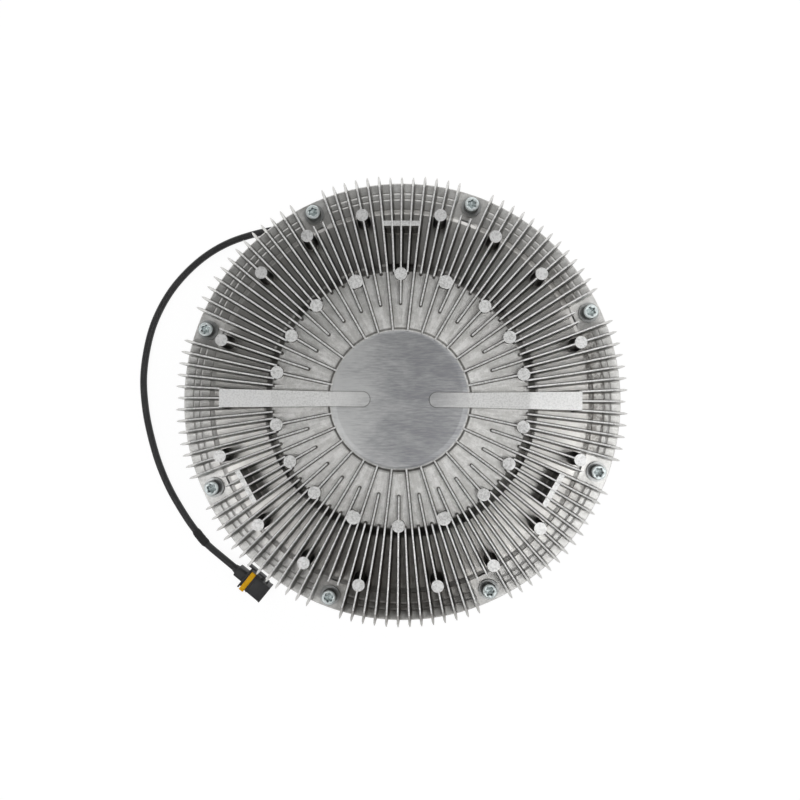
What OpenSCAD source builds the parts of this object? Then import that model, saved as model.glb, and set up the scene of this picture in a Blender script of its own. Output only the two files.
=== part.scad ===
// Electronically controlled viscous fan clutch with a finned die-cast cover.
// Lies on its shaft flange (z = 0), finned front cover up, axis on +Z.

/* [Front cover] */
// Diameter of the cover's rim
rim_dia = 304; // [300:1:308]
// Diameter of the raised hub disc
hub_dia = 92.4; // [90:0.2:95]
// Height of the hub above the inner floor
hub_rise = 3.5; // [3:0.1:4]
// Height of the outer fins above the chamber roof
fin_h = 21; // [20:0.5:23]
// Thickness of a fin at its top edge
fin_top_t = 1.1; // [1:0.1:1.4]
// Draft of each fin side, in degrees
fin_draft = 1.7; // [1.3:0.1:1.9]
// Thickness of the chamber roof
roof_t = 5.5; // [5:0.5:6.5]
// Radius where the short fins start
short_fin_r = 84; // [83.5:0.1:84.5]
// Radius where the medium fins start
medium_fin_r = 63.5; // [60:0.5:68]
// Width of the two oil-return bars at the hub
bar_w = 9.6; // [9:0.1:10.4]
// Height of the return bars above the hub face
bar_rise = 0.9; // [0.5:0.1:1.4]
// Radius of the cast ejector bosses
boss_r = 4.15; // [3.8:0.05:4.3]

/* [Cover screws] */
// Number of cover screws
screw_count = 8; // [8:8:8]
// Shank radius of a cover screw
screw_shank_r = 2.95; // [2.8:0.05:3]
// Head radius of a cover screw
screw_head_r = 5; // [4.8:0.1:5.3]
// Head height of a cover screw
screw_head_h = 6; // [5.5:0.1:6.5]

/* [Rear housing] */
// Number of rear cooling fins
rear_fin_count = 60; // [40:20:60]
// Thickness of the rear wall
rear_wall_t = 6.5; // [6:0.5:7.5]
// Distance from the fan collar to the circle of the tapped fan holes
fan_hole_off = 10; // [9.5:0.1:11]
// Number of tapped fan holes
fan_hole_count = 8; // [4:4:8]
// Radius of a tapped fan hole (tap drill)
fan_hole_r = 3.4; // [3:0.1:3.6]
// Radius of the collar that centres the fan
fan_pilot_r = 84; // [83:0.5:85]
// Height of the fan collar below the fan face
fan_pilot_h = 6; // [5:0.5:7]

/* [Rotor] */
// Thickness of the rotor's web
rotor_web_t = 6; // [5:0.5:7]
// Height of the ring lamellae
rib_h = 9; // [8:0.5:10]
// Thickness of a ring lamella
rib_t = 2.2; // [1.9:0.1:2.5]
// Axial gap at the lamella tips
lab_gap = 1.5; // [1.2:0.1:2]
// Height of the rotor nut
nut_h = 6.2; // [6:0.1:6.8]
// Wall of the rotor nut at its corners
nut_wall = 8; // [7:0.5:9]
// Thickness of the rotor's lock washer
lock_washer_t = 0.8; // [0.6:0.1:1]
// Height of a pump wiper
wiper_h = 5; // [4:0.5:6]

/* [Shaft] */
// Radius of the shaft flange
flange_r = 50; // [48:0.5:54]
// Thickness of the shaft flange
flange_t = 12; // [11:0.5:14]
// Pitch circle diameter of the flange's tapped holes
flange_pcd = 80; // [76:1:82]
// Number of tapped flange holes
flange_hole_count = 6; // [4:2:6]
// Radius of a tapped flange hole (tap drill)
flange_hole_r = 3.4; // [3:0.1:4]
// Radius of the centring recess in the flange
pilot_r = 22; // [20:0.5:24]
// Depth of the centring recess
pilot_depth = 5; // [4:0.5:6]

/* [Bearings] */
// Bore radius of the main bearing
main_brg_ri = 17.5; // [17:0.5:18]
// Outer radius of the main bearing
main_brg_ro = 36; // [35.5:0.5:37]
// Width of the main bearing
main_brg_w = 27; // [26:0.5:29]
// Ball radius of the main bearing
main_ball_r = 4.76; // [4.6:0.02:4.8]
// Balls in each row of the main bearing
main_ball_count = 13; // [11:1:14]
// Bore radius of the coil bearing
coil_brg_ri = 20; // [19.5:0.5:20]
// Outer radius of the coil bearing
coil_brg_ro = 34; // [33.5:0.5:34.5]
// Width of the coil bearing
coil_brg_w = 15; // [14:0.5:16]
// Ball radius of the coil bearing
coil_ball_r = 4; // [3.8:0.05:4.1]
// Balls in the coil bearing
coil_ball_count = 12; // [10:1:12]

/* [Magnet] */
// Radial gap from the magnet yoke to the housing's hub inside it
yoke_gap_in = 3; // [2.8:0.1:3.5]
// Radial gap from the magnet yoke to the fan collar around it
yoke_gap_out = 4; // [3.5:0.5:6]
// Air gap from the yoke to the flux ring
coil_gap = 1.2; // [0.9:0.1:1.6]
// Thickness of the flux ring
flux_t = 2.8; // [2.5:0.1:3.2]
// Radius of the anti-rotation pin hole
torque_hole_r = 4.5; // [4:0.1:5]
// Thickness of the speed target ring
target_t = 2.25; // [2:0.05:2.4]
// Height of the speed target ring
target_h = 5; // [4.5:0.1:5.5]
// Shank radius of a carrier screw
carrier_screw_r = 2.45; // [2.2:0.05:2.6]
// Head height of a carrier screw
carrier_head_h = 2.8; // [2.4:0.1:3]

/* [Valve] */
// Radius of the armature disc
armature_r = 20; // [18:0.5:22]
// Thickness of the valve lever
lever_t = 1; // [0.8:0.1:1.2]
// Width of the valve lever
lever_w = 12; // [10:0.5:14]
// Lift of the open valve above the plate
valve_lift = 2.4; // [2.3:0.1:2.7]
// Radius of the supply port in the plate
port_r = 4; // [3:0.2:5]

/* [Plate screws] */
// Shank radius of a plate screw
plate_screw_shank_r = 1.95; // [1.8:0.05:2.1]
// Head radius of a plate screw
plate_screw_head_r = 3.4; // [3:0.1:3.8]
// Head height of a plate screw
plate_screw_head_h = 2.2; // [1.8:0.1:2.2]

/* [Cable] */
// Radius of the cable
cable_r = 2.7; // [2.4:0.1:2.9]
// Radius of the shrink sleeve on the cable
sleeve_r = 3.4; // [3.2:0.1:3.6]
// Sides of the cable's outline
cable_sides = 10; // [8:1:12]

/* [Node] */
// The sub-part that is drawn

/* [Hidden] */
$fn = 96;
fit = 0.05;        // radial gap of a seated ring or shank
ball_gap = 0.1;    // gap from a ball to its raceway
clip_t = 1.75;     // thickness of the circlips

fin_count = 120;
pitch = 360 / fin_count;
rim_r = rim_dia / 2;
hub_r = hub_dia / 2;

// Levels, built up from the flange face
z_seat = flange_t + 4;                    // lower face of the coil bearing
z_cb1 = z_seat + coil_brg_w;
z_web1 = z_cb1 + 1;                       // top of the carrier's web
web_t = 6;
z_web0 = z_web1 - web_t;
z_hub0 = z_web1 + 2;                      // lower end of the rear housing's hub
z_mb0 = z_hub0 + 1.75 + clip_t;           // lower face of the main bearing
z_mb1 = z_mb0 + main_brg_w;
z_hub1 = z_mb1 + 3.5;
z_rot0 = z_hub1 + 1;                      // rotor web
z_rot1 = z_rot0 + rotor_web_t;
z_rib1 = z_rot1 + rib_h;
z_tip = z_rot1 + lock_washer_t + nut_h + 0.6;   // end of the shaft
z_roof0 = z_rib1 + lab_gap;               // chamber roof
z_roof1 = z_roof0 + roof_t;               // floor between the outer fins
z_top = z_roof1 + fin_h;                  // tops of the fins and of the hub
z_joint = z_rot0 + 1;                     // cover to rear housing
z_flange1 = z_roof1 - 9.8;                // top of the cover's rim flange
z_pad = z_flange1 - 0.4;                  // screw pads
z_plate0 = z_rib1 + 1;
plate_t = 2;
z_plate1 = z_plate0 + plate_t;
z_inner1 = z_top - hub_rise;              // inner floor at the hub
z_inner0 = z_inner1 - 2;                  // inner floor at the shoulder
z_res1 = z_inner0 - 4;                    // reservoir ceiling
z_cav0 = z_rot0 - 2.5;                    // floor of the rear chamber
z_rw = z_cav0 - rear_wall_t;              // outside of the rear wall
z_fan = z_rw - 14;                        // fan mounting face
z_pilot = z_fan - fan_pilot_h;
z_rf = z_joint - 12;                      // rear face of the joint flange
z_yoke1 = z_rw - flux_t - coil_gap;

// Radii
chamber_r = rim_r - 18;
rotor_r = chamber_r - 3.5;
screw_r = rim_r - 8.5;
step_r1 = rim_r - 21.2;                   // middles of the sloped steps down to the rim
step_r2 = rim_r - 13;
step_r3 = rim_r - 7.9;
step_run = 2;
stub_r = rim_r - 24.7;                    // ends of the fins that stop at a screw
tip_run = 7;                              // length of a fin's pointed end
tip_t = 0.5;
seal_r = (chamber_r + screw_r - screw_shank_r - 0.35) / 2;
shoulder_r = short_fin_r + 1;
res_r = shoulder_r - 4;
plate_r = shoulder_r + 2;
plate_screw_r = (res_r + plate_r) / 2;
rib_r0 = shoulder_r + 12;
rib_pitch = 6.4;
rib_edge = 5;                             // rotor rim outside the last lamella
rib_n = 1 + floor((rotor_r - rib_edge - rib_r0) / rib_pitch);
rotor_port_r = rib_r0 - 35;               // circle of the rotor's oil ports
land_r = rib_r0 + (rib_n - 1) * rib_pitch + rib_t / 2 + 2.5;
bar_in_r = 19.5;
bar_out_r = rim_r - 33.7;
cross_r = rim_r - 36.4;
inner_boss_r = short_fin_r - 1.6;
outer_boss_r = rim_r - 28.4;
house_hub_r = main_brg_ro + 8;
collar_ri = fan_pilot_r - 8;
yoke_ri = house_hub_r + yoke_gap_in;
yoke_ro = collar_ri - yoke_gap_out;
fan_hole_circle_r = fan_pilot_r + fan_hole_off;
fan_ro = fan_hole_circle_r + 10;
bolt_hole_r = screw_shank_r + 0.05;
clear_hole_r = screw_shank_r + 0.35;
shaft_tip_r = main_brg_ri - 2.5;
main_pitch_r = (main_brg_ri + main_brg_ro) / 2;
coil_pitch_r = (coil_brg_ri + coil_brg_ro) / 2;
cable_out_y = yoke_ro + 25;               // where the cable leaves the gland
cable_out_z = z_web1 - 7;

// Fin layout: every fourth fin is long, the one between is medium, odd ones are short
inner_bosses = [4, 10, 16, 23, 30, 37, 44, 50, 56];
outer_bosses = [6, 14, 20, 26, 34, 40, 46, 54];
function side(k) = k % 60;
function at_bar(k) = side(k) < 2 || side(k) == 59;
function by_bar(k) = side(k) == 2 || side(k) == 58;
function at_screw(k) = k % 15 == 8 || k % 15 == 9;
function at_cross(k) = k % 40 > 28 && k % 40 < 32;
function fin_in(k) = at_bar(k) ? bar_out_r - 1.5 : by_bar(k) ? short_fin_r
    : k % 4 == 0 ? hub_r - 0.9 : k % 4 == 2 ? medium_fin_r : short_fin_r;
function has_nose(k) = !at_bar(k) && k % 4 != 0;
function fin_out(k) = at_screw(k) ? stub_r
    : at_cross(k) || side(k) == 0 ? rim_r - 2.4 : rim_r - 0.15;

module tube(ri, ro, h) difference() {
    cylinder(r = ro, h = h);
    translate([0, 0, -1]) cylinder(r = ri, h = h + 2);
}
module ring(pts) rotate_extrude() polygon(pts);
module around(n, r, a0 = 0) for (i = [0 : n - 1]) rotate([0, 0, a0 + i * 360 / n]) translate([r, 0, 0])
    children();
module screw_places() around(screw_count, screw_r, 8.5 * pitch) children();

// One drafted radial fin with its thin edge on level z1, thick edge on level z0
module fin(a, r0, r1, z0, z1, t1, draft) {
    h = abs(z1 - z0);
    t0 = t1 + 2 * h * tan(draft);
    s = z1 > z0 ? 1 : -1;
    rotate([0, 0, a]) translate([r0, 0, z0]) rotate([90, 0, 90]) linear_extrude(r1 - r0)
        polygon([[-t0 / 2, 0], [t0 / 2, 0], [t1 / 2, s * h], [-t1 / 2, s * h]]);
}
// Front fin: pointed at the rim, square where it stops at a screw
module front_fin(k) {
    w = fin_top_t / 2 + (z_top - z_flange1 + 3) * tan(fin_draft) + fit;
    tip = at_screw(k) ? w : tip_t / 2;
    intersection() {
        fin(k * pitch, fin_in(k), fin_out(k), z_flange1 - 3, z_top, fin_top_t, fin_draft);
        rotate([0, 0, k * pitch]) translate([0, 0, z_flange1 - 4]) linear_extrude(z_top - z_flange1 + 5)
            polygon([[0, -w], [fin_out(k) - tip_run, -w], [fin_out(k) + fit, -tip], [fin_out(k) + fit, tip],
                [fin_out(k) - tip_run, w], [0, w]]);
    }
}
// Round inner end of a front fin that starts on the inner floor
nose_h = 9;
module fin_nose(a, r0) rotate([0, 0, a]) translate([r0, 0, z_top - nose_h]) cylinder(
    r1 = fin_top_t / 2 + nose_h * tan(fin_draft) - fit, r2 = fin_top_t / 2 - fit, h = nose_h);

// Front cover
cover_solid = [[0, z_joint], [rim_r - 0.6, z_joint], [rim_r, z_joint + 0.6], [rim_r, z_flange1 - 0.8],
    [rim_r - 0.8, z_flange1], [step_r3 + step_run / 2, z_flange1], [step_r3 - step_run / 2, z_roof1 - 7.2],
    [step_r2 + step_run / 2, z_roof1 - 7], [step_r2 - step_run / 2, z_roof1 - 4.2],
    [step_r1 + step_run / 2, z_roof1 - 4], [step_r1 - step_run / 2, z_roof1 - 1.5],
    [step_r1 - 1.6 * step_run, z_roof1 - 0.8], [shoulder_r + 8.6, z_roof1], [shoulder_r + 6.8, z_roof1 + 1.2],
    [shoulder_r + 0.4, z_inner0 - 0.8], [shoulder_r - 0.6, z_inner0], [hub_r + 2.6, z_inner1],
    [hub_r + 1.2, z_inner1 + 0.5], [hub_r + 0.2, z_inner1 + 1.6], [hub_r - 0.4, z_top - 0.7],
    [hub_r - 2.2, z_top - 0.15], [hub_r - 4.5, z_top], [0, z_top]];
cover_ribs = [for (i = [rib_n - 2 : -1 : 0]) let(r = rib_r0 + (i + 0.5) * rib_pitch) each
    [[r + rib_t / 2, z_roof0], [r + rib_t / 2, z_rot1 + lab_gap], [r - rib_t / 2, z_rot1 + lab_gap],
     [r - rib_t / 2, z_roof0]]];
cover_hollow = concat([[0, z_joint - 1], [chamber_r, z_joint - 1], [chamber_r, z_rot1 + 4],
    [land_r, z_rot1 + 4], [land_r, z_roof0]], cover_ribs,
    [[plate_r + 0.3, z_roof0], [plate_r + 0.3, z_plate1], [res_r, z_plate1], [res_r, z_res1],
     [hub_r - 6, z_res1], [hub_r - 6, z_top - 5.5], [0, z_top - 5.5]]);
fin_end = [[rim_r - 12.5, z_top + 1], [rim_r + 0.5, z_top - 15], [rim_r + 4, z_top - 15],
    [rim_r + 4, z_top + 1]];

module return_bar() {
    z0 = z_roof1 - 2;
    h = z_top + bar_rise - z0;
    w1 = 2 * bar_out_r * tan(pitch) * 0.98;
    translate([0, 0, z0]) {
        linear_extrude(h) polygon([[bar_in_r + bar_w / 2, -bar_w / 2], [hub_r, -bar_w / 2],
            [bar_out_r, -w1 / 2], [bar_out_r, w1 / 2], [hub_r, bar_w / 2],
            [bar_in_r + bar_w / 2, bar_w / 2]]);
        translate([bar_in_r + bar_w / 2, 0, 0]) cylinder(r = bar_w / 2, h = h);
    }
}
module return_duct() {
    translate([bar_in_r + 6, 0, z_top - 5]) rotate([0, 90, 0])
        cylinder(r = 2.2, h = bar_out_r - bar_in_r - 12);
    translate([bar_out_r - 8, 0, z_roof0 - 1]) cylinder(r = 2.2, h = z_top - 5 - z_roof0 + 1);
}
module inner_boss(k) rotate([0, 0, k * pitch]) translate([inner_boss_r, 0, z_top - 12])
    if (k % 2 == 0) cylinder(r = boss_r, h = 12.12);
    else linear_extrude(12.12) intersection() {
        circle(r = boss_r + 0.5);
        translate([-boss_r, -2 * boss_r]) square(4 * boss_r);
    }
module screw_pocket() {
    r0 = step_r1 + 0.8;
    r1 = rim_r + 3;
    w0 = r0 * sin(1.5 * pitch) - 1.75;
    w1 = r1 * sin(1.5 * pitch) - 1.75;
    linear_extrude(12) polygon([[r0, -w0], [r1, -w1], [r1, w1], [r0, w0]]);
}
module front_cover() color([0.74, 0.74, 0.73]) difference() {
    union() {
        ring(cover_solid);
        for (k = [0 : fin_count - 1]) front_fin(k);
        for (k = [0 : fin_count - 1]) if (has_nose(k)) fin_nose(k * pitch, fin_in(k));
        for (h = [0, 60]) {
            for (k = inner_bosses) inner_boss(k + h);
            for (k = outer_bosses) rotate([0, 0, (k + h) * pitch]) translate([outer_boss_r, 0, z_roof1 - 3])
                cylinder(r1 = boss_r + 0.5, r2 = boss_r - 0.1, h = fin_h + 3.12);
            rotate([0, 0, h * pitch]) return_bar();
        }
        for (a = [90, 210, 330]) rotate([0, 0, a]) translate([cross_r - 1.7, -cross_r * tan(2 * pitch),
            z_roof1 - 2]) cube([3.4, 2 * cross_r * tan(2 * pitch), fin_h + 1.9]);
    }
    ring(cover_hollow);
    ring(fin_end);
    for (i = [0 : screw_count - 1]) rotate([0, 0, 8.5 * pitch + i * 360 / screw_count])
        translate([0, 0, z_pad]) screw_pocket();
    screw_places() translate([0, 0, z_joint - 1]) cylinder(r = clear_hole_r, h = z_flange1 - z_joint + 2);
    for (a = [0, 180]) rotate([0, 0, a]) return_duct();
    around(6, plate_screw_r, 15) translate([0, 0, z_plate1 - 1])
        cylinder(r = plate_screw_shank_r + fit, h = plate_screw_depth + 2);
}

// Rear housing
rear_solid = [[0, z_hub0], [house_hub_r - 0.8, z_hub0], [house_hub_r, z_hub0 + 0.8],
    [house_hub_r, z_rw - 1.5],
    [house_hub_r + 1.5, z_rw], [collar_ri - 1, z_rw], [collar_ri, z_rw - 1], [collar_ri, z_pilot],
    [fan_pilot_r, z_pilot], [fan_pilot_r, z_fan], [fan_ro, z_fan], [fan_ro + 3, z_rw],
    [step_r1 - 3, z_rw], [step_r1, z_rf], [rim_r - 0.6, z_rf], [rim_r, z_rf + 0.6],
    [rim_r, z_joint - 0.6], [rim_r - 0.6, z_joint], [0, z_joint]];
rear_hollow = [[0, z_joint + 1], [chamber_r, z_joint + 1], [chamber_r, z_cav0], [house_hub_r + 4, z_cav0],
    [house_hub_r + 3, z_hub1], [main_brg_ro - 4, z_hub1], [main_brg_ro - 4, z_mb1],
    [main_brg_ro + fit, z_mb1], [main_brg_ro + fit, z_mb0], [main_brg_ro + 1.8, z_mb0],
    [main_brg_ro + 1.8, z_mb0 - clip_t], [main_brg_ro + fit, z_mb0 - clip_t],
    [main_brg_ro + fit, z_hub0 - 1], [0, z_hub0 - 1]];
rear_fin_end = [[rim_r - 9, z_fan], [rim_r + 0.5, z_fan + 9], [rim_r + 4, z_fan + 9], [rim_r + 4, z_fan]];

module rear_housing() color([0.70, 0.70, 0.70]) difference() {
    union() {
        ring(rear_solid);
        for (k = [0 : rear_fin_count - 1]) fin(k * 360 / rear_fin_count, fan_ro - 1, rim_r - 0.15, z_rf + 3,
            z_fan + 1, fin_top_t + 0.2, fin_draft);
    }
    ring(rear_hollow);
    ring(rear_fin_end);
    translate([0, 0, z_joint - 2.5]) tube(seal_r - 1.7, seal_r + 1.7, 4);
    screw_places() translate([0, 0, z_rf - 14]) cylinder(r = bolt_hole_r, h = 30);
    around(fan_hole_count, fan_hole_circle_r, 22.5) translate([0, 0, z_fan - 1])
        cylinder(r = fan_hole_r, h = 15);
}

module lobe_socket(r, h) {
    cylinder(r = r * 0.8, h = h);
    around(6, r * 0.8) cylinder(r = r * 0.24, h = h);
}
module cover_screws() color([0.80, 0.83, 0.86]) screw_places() difference() {
    union() {
        translate([0, 0, z_rf + 1]) cylinder(r = screw_shank_r, h = z_pad + 1.6 - z_rf - 0.5);
        translate([0, 0, z_pad + 1.6]) cylinder(r = screw_head_r, h = screw_head_h - 0.6);
        translate([0, 0, z_pad + 1 + screw_head_h])
            cylinder(r1 = screw_head_r, r2 = screw_head_r - 0.6, h = 0.6);
    }
    translate([0, 0, z_pad + screw_head_h - 1.6]) lobe_socket(screw_head_r * 0.56, 6);
}
module cover_washers() color([0.66, 0.68, 0.70]) screw_places() translate([0, 0, z_pad])
    tube(screw_shank_r + 0.25, screw_head_r + 1.9, 1.6);
module cover_seal() color([0.10, 0.10, 0.10]) translate([0, 0, z_joint - 1.25])
    rotate_extrude() translate([seal_r, 0]) circle(r = 1.25);

// Reservoir plate and valve
port_x = armature_r + 16;
pivot_x = 21 - res_r;                     // edge that the lever tilts on
plate_screw_depth = 7;                    // thread in the cover
rivet_x = pivot_x - 5;
rivet_r = 1.55;
pivot_w = lever_w + 2;
module reservoir_plate() color([0.62, 0.63, 0.64]) difference() {
    translate([0, 0, z_plate0]) cylinder(r = plate_r, h = plate_t);
    translate([port_x, 0, z_plate0 - 1]) cylinder(r = port_r, h = plate_t + 2);
    around(6, plate_screw_r, 15) translate([0, 0, z_plate0 - 1])
        cylinder(r = plate_screw_shank_r + 0.15, h = plate_t + 2);
    translate([rivet_x, 0, z_plate0 - 1]) cylinder(r = rivet_r + fit, h = plate_t + 2);
}
module plate_screws() color([0.55, 0.56, 0.58]) around(6, plate_screw_r, 15) difference() {
    union() {
        translate([0, 0, z_plate0 - plate_screw_head_h])
            cylinder(r = plate_screw_head_r, h = plate_screw_head_h);
        translate([0, 0, z_plate0]) cylinder(r = plate_screw_shank_r, h = plate_t + plate_screw_depth);
    }
    translate([0, 0, z_plate0 - plate_screw_head_h - 1])
        cylinder(r = plate_screw_head_r / 2, h = 1 + plate_screw_head_h * 0.6, $fn = 6);
}
z_lever = z_plate1 + valve_lift;
module valve_pivot() color([0.62, 0.62, 0.60]) difference() {
    translate([pivot_x - 10, -pivot_w / 2, z_plate1]) cube([10, pivot_w, valve_lift]);
    translate([rivet_x, 0, z_plate1 - 1]) cylinder(r = rivet_r + fit, h = valve_lift + 2);
}
module valve_rivet() color([0.72, 0.60, 0.36]) {
    translate([rivet_x, 0, z_plate0]) cylinder(r = rivet_r, h = plate_t + valve_lift + lever_t + 0.5);
    translate([rivet_x, 0, z_lever + lever_t + 0.4]) cylinder(r = 3, h = 1.2);
}
module valve_lever() color([0.72, 0.72, 0.70]) difference() {
    union() {
        translate([pivot_x - 9, -lever_w / 2, z_lever]) cube([port_x - pivot_x + 9, lever_w, lever_t]);
        translate([port_x, 0, z_lever]) cylinder(r = port_r + 3, h = lever_t);
    }
    translate([rivet_x, 0, z_lever - 1]) cylinder(r = rivet_r + 0.65, h = lever_t + 2);
}
module armature() color([0.45, 0.45, 0.46]) translate([0, 0, z_lever + lever_t])
    tube(4, armature_r, 3);
module pump_wipers() color([0.20, 0.20, 0.21]) for (a = [24, 204]) rotate([0, 0, a])
    translate([0, 0, z_rot0 + 2]) rotate_extrude(angle = 5)
        translate([rotor_r + 0.8, 0]) square([chamber_r - rotor_r - 0.85, wiper_h]);

// Rotor and shaft
rotor_ribs = [for (i = [rib_n - 1 : -1 : 0]) let(r = rib_r0 + i * rib_pitch) each
    [[r + rib_t / 2, z_rot1], [r + rib_t / 2, z_rib1], [r - rib_t / 2, z_rib1], [r - rib_t / 2, z_rot1]]];
module rotor_disc() color([0.66, 0.67, 0.68]) difference() {
    ring(concat([[shaft_tip_r + fit, z_mb1], [shaft_tip_r + 8, z_mb1], [shaft_tip_r + 8, z_rot0],
        [rotor_r, z_rot0], [rotor_r, z_rot1]], rotor_ribs, [[shaft_tip_r + fit, z_rot1]]));
    around(6, rotor_port_r) translate([0, 0, z_rot0 - 1]) cylinder(r = 6, h = rotor_web_t + 2);
}
module rotor_lock_washer() color([0.50, 0.50, 0.52]) translate([0, 0, z_rot1])
    tube(shaft_tip_r + 0.2, shaft_tip_r + nut_wall + 1.5, lock_washer_t);
module rotor_nut() color([0.42, 0.42, 0.44]) translate([0, 0, z_rot1 + lock_washer_t]) difference() {
    cylinder(r = shaft_tip_r + nut_wall, h = nut_h, $fn = 6);
    translate([0, 0, -1]) cylinder(r = shaft_tip_r + fit, h = nut_h + 2);
}
module drive_shaft() color([0.36, 0.36, 0.37]) difference() {
    ring([[0, 0], [flange_r - 0.8, 0], [flange_r, 0.8], [flange_r, flange_t - 0.8],
        [flange_r - 0.8, flange_t],
        [coil_brg_ri + 5, flange_t], [coil_brg_ri + 5, z_seat], [coil_brg_ri, z_seat],
        [coil_brg_ri, z_cb1], [coil_brg_ri - 1, z_cb1], [coil_brg_ri - 1, z_cb1 + clip_t],
        [coil_brg_ri, z_cb1 + clip_t], [coil_brg_ri, z_mb0], [main_brg_ri, z_mb0],
        [main_brg_ri, z_mb1 - 0.5], [shaft_tip_r, z_mb1 - 0.5], [shaft_tip_r, z_tip - 1],
        [shaft_tip_r - 1, z_tip], [0, z_tip]]);
    translate([0, 0, -1]) cylinder(r = pilot_r, h = pilot_depth + 1);
    around(flange_hole_count, flange_pcd / 2) translate([0, 0, -1])
        cylinder(r = flange_hole_r, h = flange_t + 2);
}
module coil_shaft_circlip() color([0.25, 0.25, 0.26]) translate([0, 0, z_cb1])
    tube(coil_brg_ri - 1 + fit, coil_brg_ri + 2.2, clip_t - 0.05);

// Bearings
cage_edge = 1.6;                          // from a cage's end to the bearing's face
cage_rim = 1.04;                          // cage left beside a ball pocket
main_row0 = cage_edge + cage_rim + ball_gap + main_ball_r;
main_rows = [main_row0, main_brg_w - main_row0];
function race_off(br) = 0.66 * br;        // from the balls' circle to a ring's land
function cage_off(br) = 0.3 * br;         // from the balls' circle to a cage's face
module race(r0, r1, z0, w, rows, pr, br) difference() {
    translate([0, 0, z0]) tube(r0, r1, w);
    for (z = rows) translate([0, 0, z0 + z]) rotate_extrude() translate([pr, 0]) circle(r = br + ball_gap);
}
module main_bearing_inner_ring() color([0.78, 0.78, 0.80]) race(main_brg_ri + 0.02,
    main_pitch_r - race_off(main_ball_r), z_mb0, main_brg_w, main_rows, main_pitch_r, main_ball_r);
module main_bearing_outer_ring() color([0.78, 0.78, 0.80]) race(
    main_pitch_r + race_off(main_ball_r), main_brg_ro, z_mb0, main_brg_w, main_rows,
    main_pitch_r, main_ball_r);
module main_bearing_shields() color([0.16, 0.16, 0.17]) for (z = [0.3, main_brg_w - 1.1])
    translate([0, 0, z_mb0 + z]) tube(main_pitch_r - 2.6,
        main_pitch_r + race_off(main_ball_r) - fit, 0.8);
module main_balls() color([0.85, 0.85, 0.87]) for (i = [0, 1]) around(main_ball_count, main_pitch_r,
    i * 180 / main_ball_count) translate([0, 0, z_mb0 + main_rows[i]]) sphere(r = main_ball_r);
module main_cage() color([0.62, 0.52, 0.28]) difference() {
    translate([0, 0, z_mb0 + cage_edge]) tube(main_pitch_r - cage_off(main_ball_r),
        main_pitch_r + cage_off(main_ball_r), main_brg_w - 2 * cage_edge);
    for (i = [0, 1]) around(main_ball_count, main_pitch_r, i * 180 / main_ball_count)
        translate([0, 0, z_mb0 + main_rows[i]]) sphere(r = main_ball_r + ball_gap);
}
module coil_bearing_inner_ring() color([0.78, 0.78, 0.80]) race(coil_brg_ri + 0.02,
    coil_pitch_r - race_off(coil_ball_r), z_seat, coil_brg_w, [coil_brg_w / 2], coil_pitch_r, coil_ball_r);
module coil_bearing_outer_ring() color([0.78, 0.78, 0.80]) race(
    coil_pitch_r + race_off(coil_ball_r), coil_brg_ro, z_seat, coil_brg_w, [coil_brg_w / 2],
    coil_pitch_r, coil_ball_r);
module coil_balls() color([0.85, 0.85, 0.87]) around(coil_ball_count, coil_pitch_r)
    translate([0, 0, z_seat + coil_brg_w / 2]) sphere(r = coil_ball_r);
module coil_cage() color([0.62, 0.52, 0.28]) difference() {
    translate([0, 0, z_seat + cage_edge]) tube(coil_pitch_r - cage_off(coil_ball_r),
        coil_pitch_r + cage_off(coil_ball_r), coil_brg_w - 2 * cage_edge);
    around(coil_ball_count, coil_pitch_r) translate([0, 0, z_seat + coil_brg_w / 2])
        sphere(r = coil_ball_r + ball_gap);
}
module housing_circlip() color([0.25, 0.25, 0.26]) translate([0, 0, z_mb0 - clip_t + 0.05])
    tube(main_brg_ro - 3, main_brg_ro + 1.7, clip_t - 0.05);
module flux_ring() color([0.40, 0.40, 0.42]) translate([0, 0, z_rw - flux_t])
    tube(yoke_ri + 1.5, yoke_ro - 0.5, flux_t);
module target_ring() color([0.40, 0.40, 0.42]) translate([0, 0, z_hub0 + 1]) difference() {
    tube(house_hub_r + fit, house_hub_r + fit + target_t, target_h);
    around(24, house_hub_r + fit + target_t) translate([-1, -2, -1]) cube([3, 4, target_h / 2 + 1]);
}

// Magnet, carried on the shaft by its own bearing
lug_y = yoke_ro + 12;
module coil_carrier() color([0.68, 0.68, 0.67]) difference() {
    union() {
        ring([[coil_brg_ro + fit, flange_t + 1.2], [coil_brg_ro + 6, flange_t + 1.2],
            [coil_brg_ro + 6, z_web0 - 2], [coil_brg_ro + 8, z_web0], [yoke_ro, z_web0], [yoke_ro, z_web1],
            [coil_brg_ro - 2.5, z_web1], [coil_brg_ro - 2.5, z_cb1], [coil_brg_ro + fit, z_cb1],
            [coil_brg_ro + fit, z_seat], [coil_brg_ro + 1.6, z_seat],
            [coil_brg_ro + 1.6, z_seat - 1.5], [coil_brg_ro + fit, z_seat - 1.5]]);
        translate([-8, yoke_ro - 6, z_web0 - 6]) cube([16, 20, web_t + 6]);
        translate([-9, -lug_y, z_web0]) cube([18, 18, web_t]);
        translate([0, -lug_y, z_web0]) cylinder(r = 9, h = web_t);
    }
    translate([0, -lug_y, z_web0 - 1]) cylinder(r = torque_hole_r, h = web_t + 2);
    translate([0, yoke_ro + 5, cable_out_z]) rotate([-90, 0, 0]) cylinder(r = 4, h = 12);
    around(4, (yoke_ri + yoke_ro) / 2, 45) translate([0, 0, z_web0 - 1])
        cylinder(r = carrier_screw_r + 0.15, h = web_t + 2);
    rotate([0, 0, 60]) translate([coil_brg_ro + 7.4, -4.05, z_web0 - 1]) cube([4.9, 8.1, web_t + 2]);
}
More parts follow.
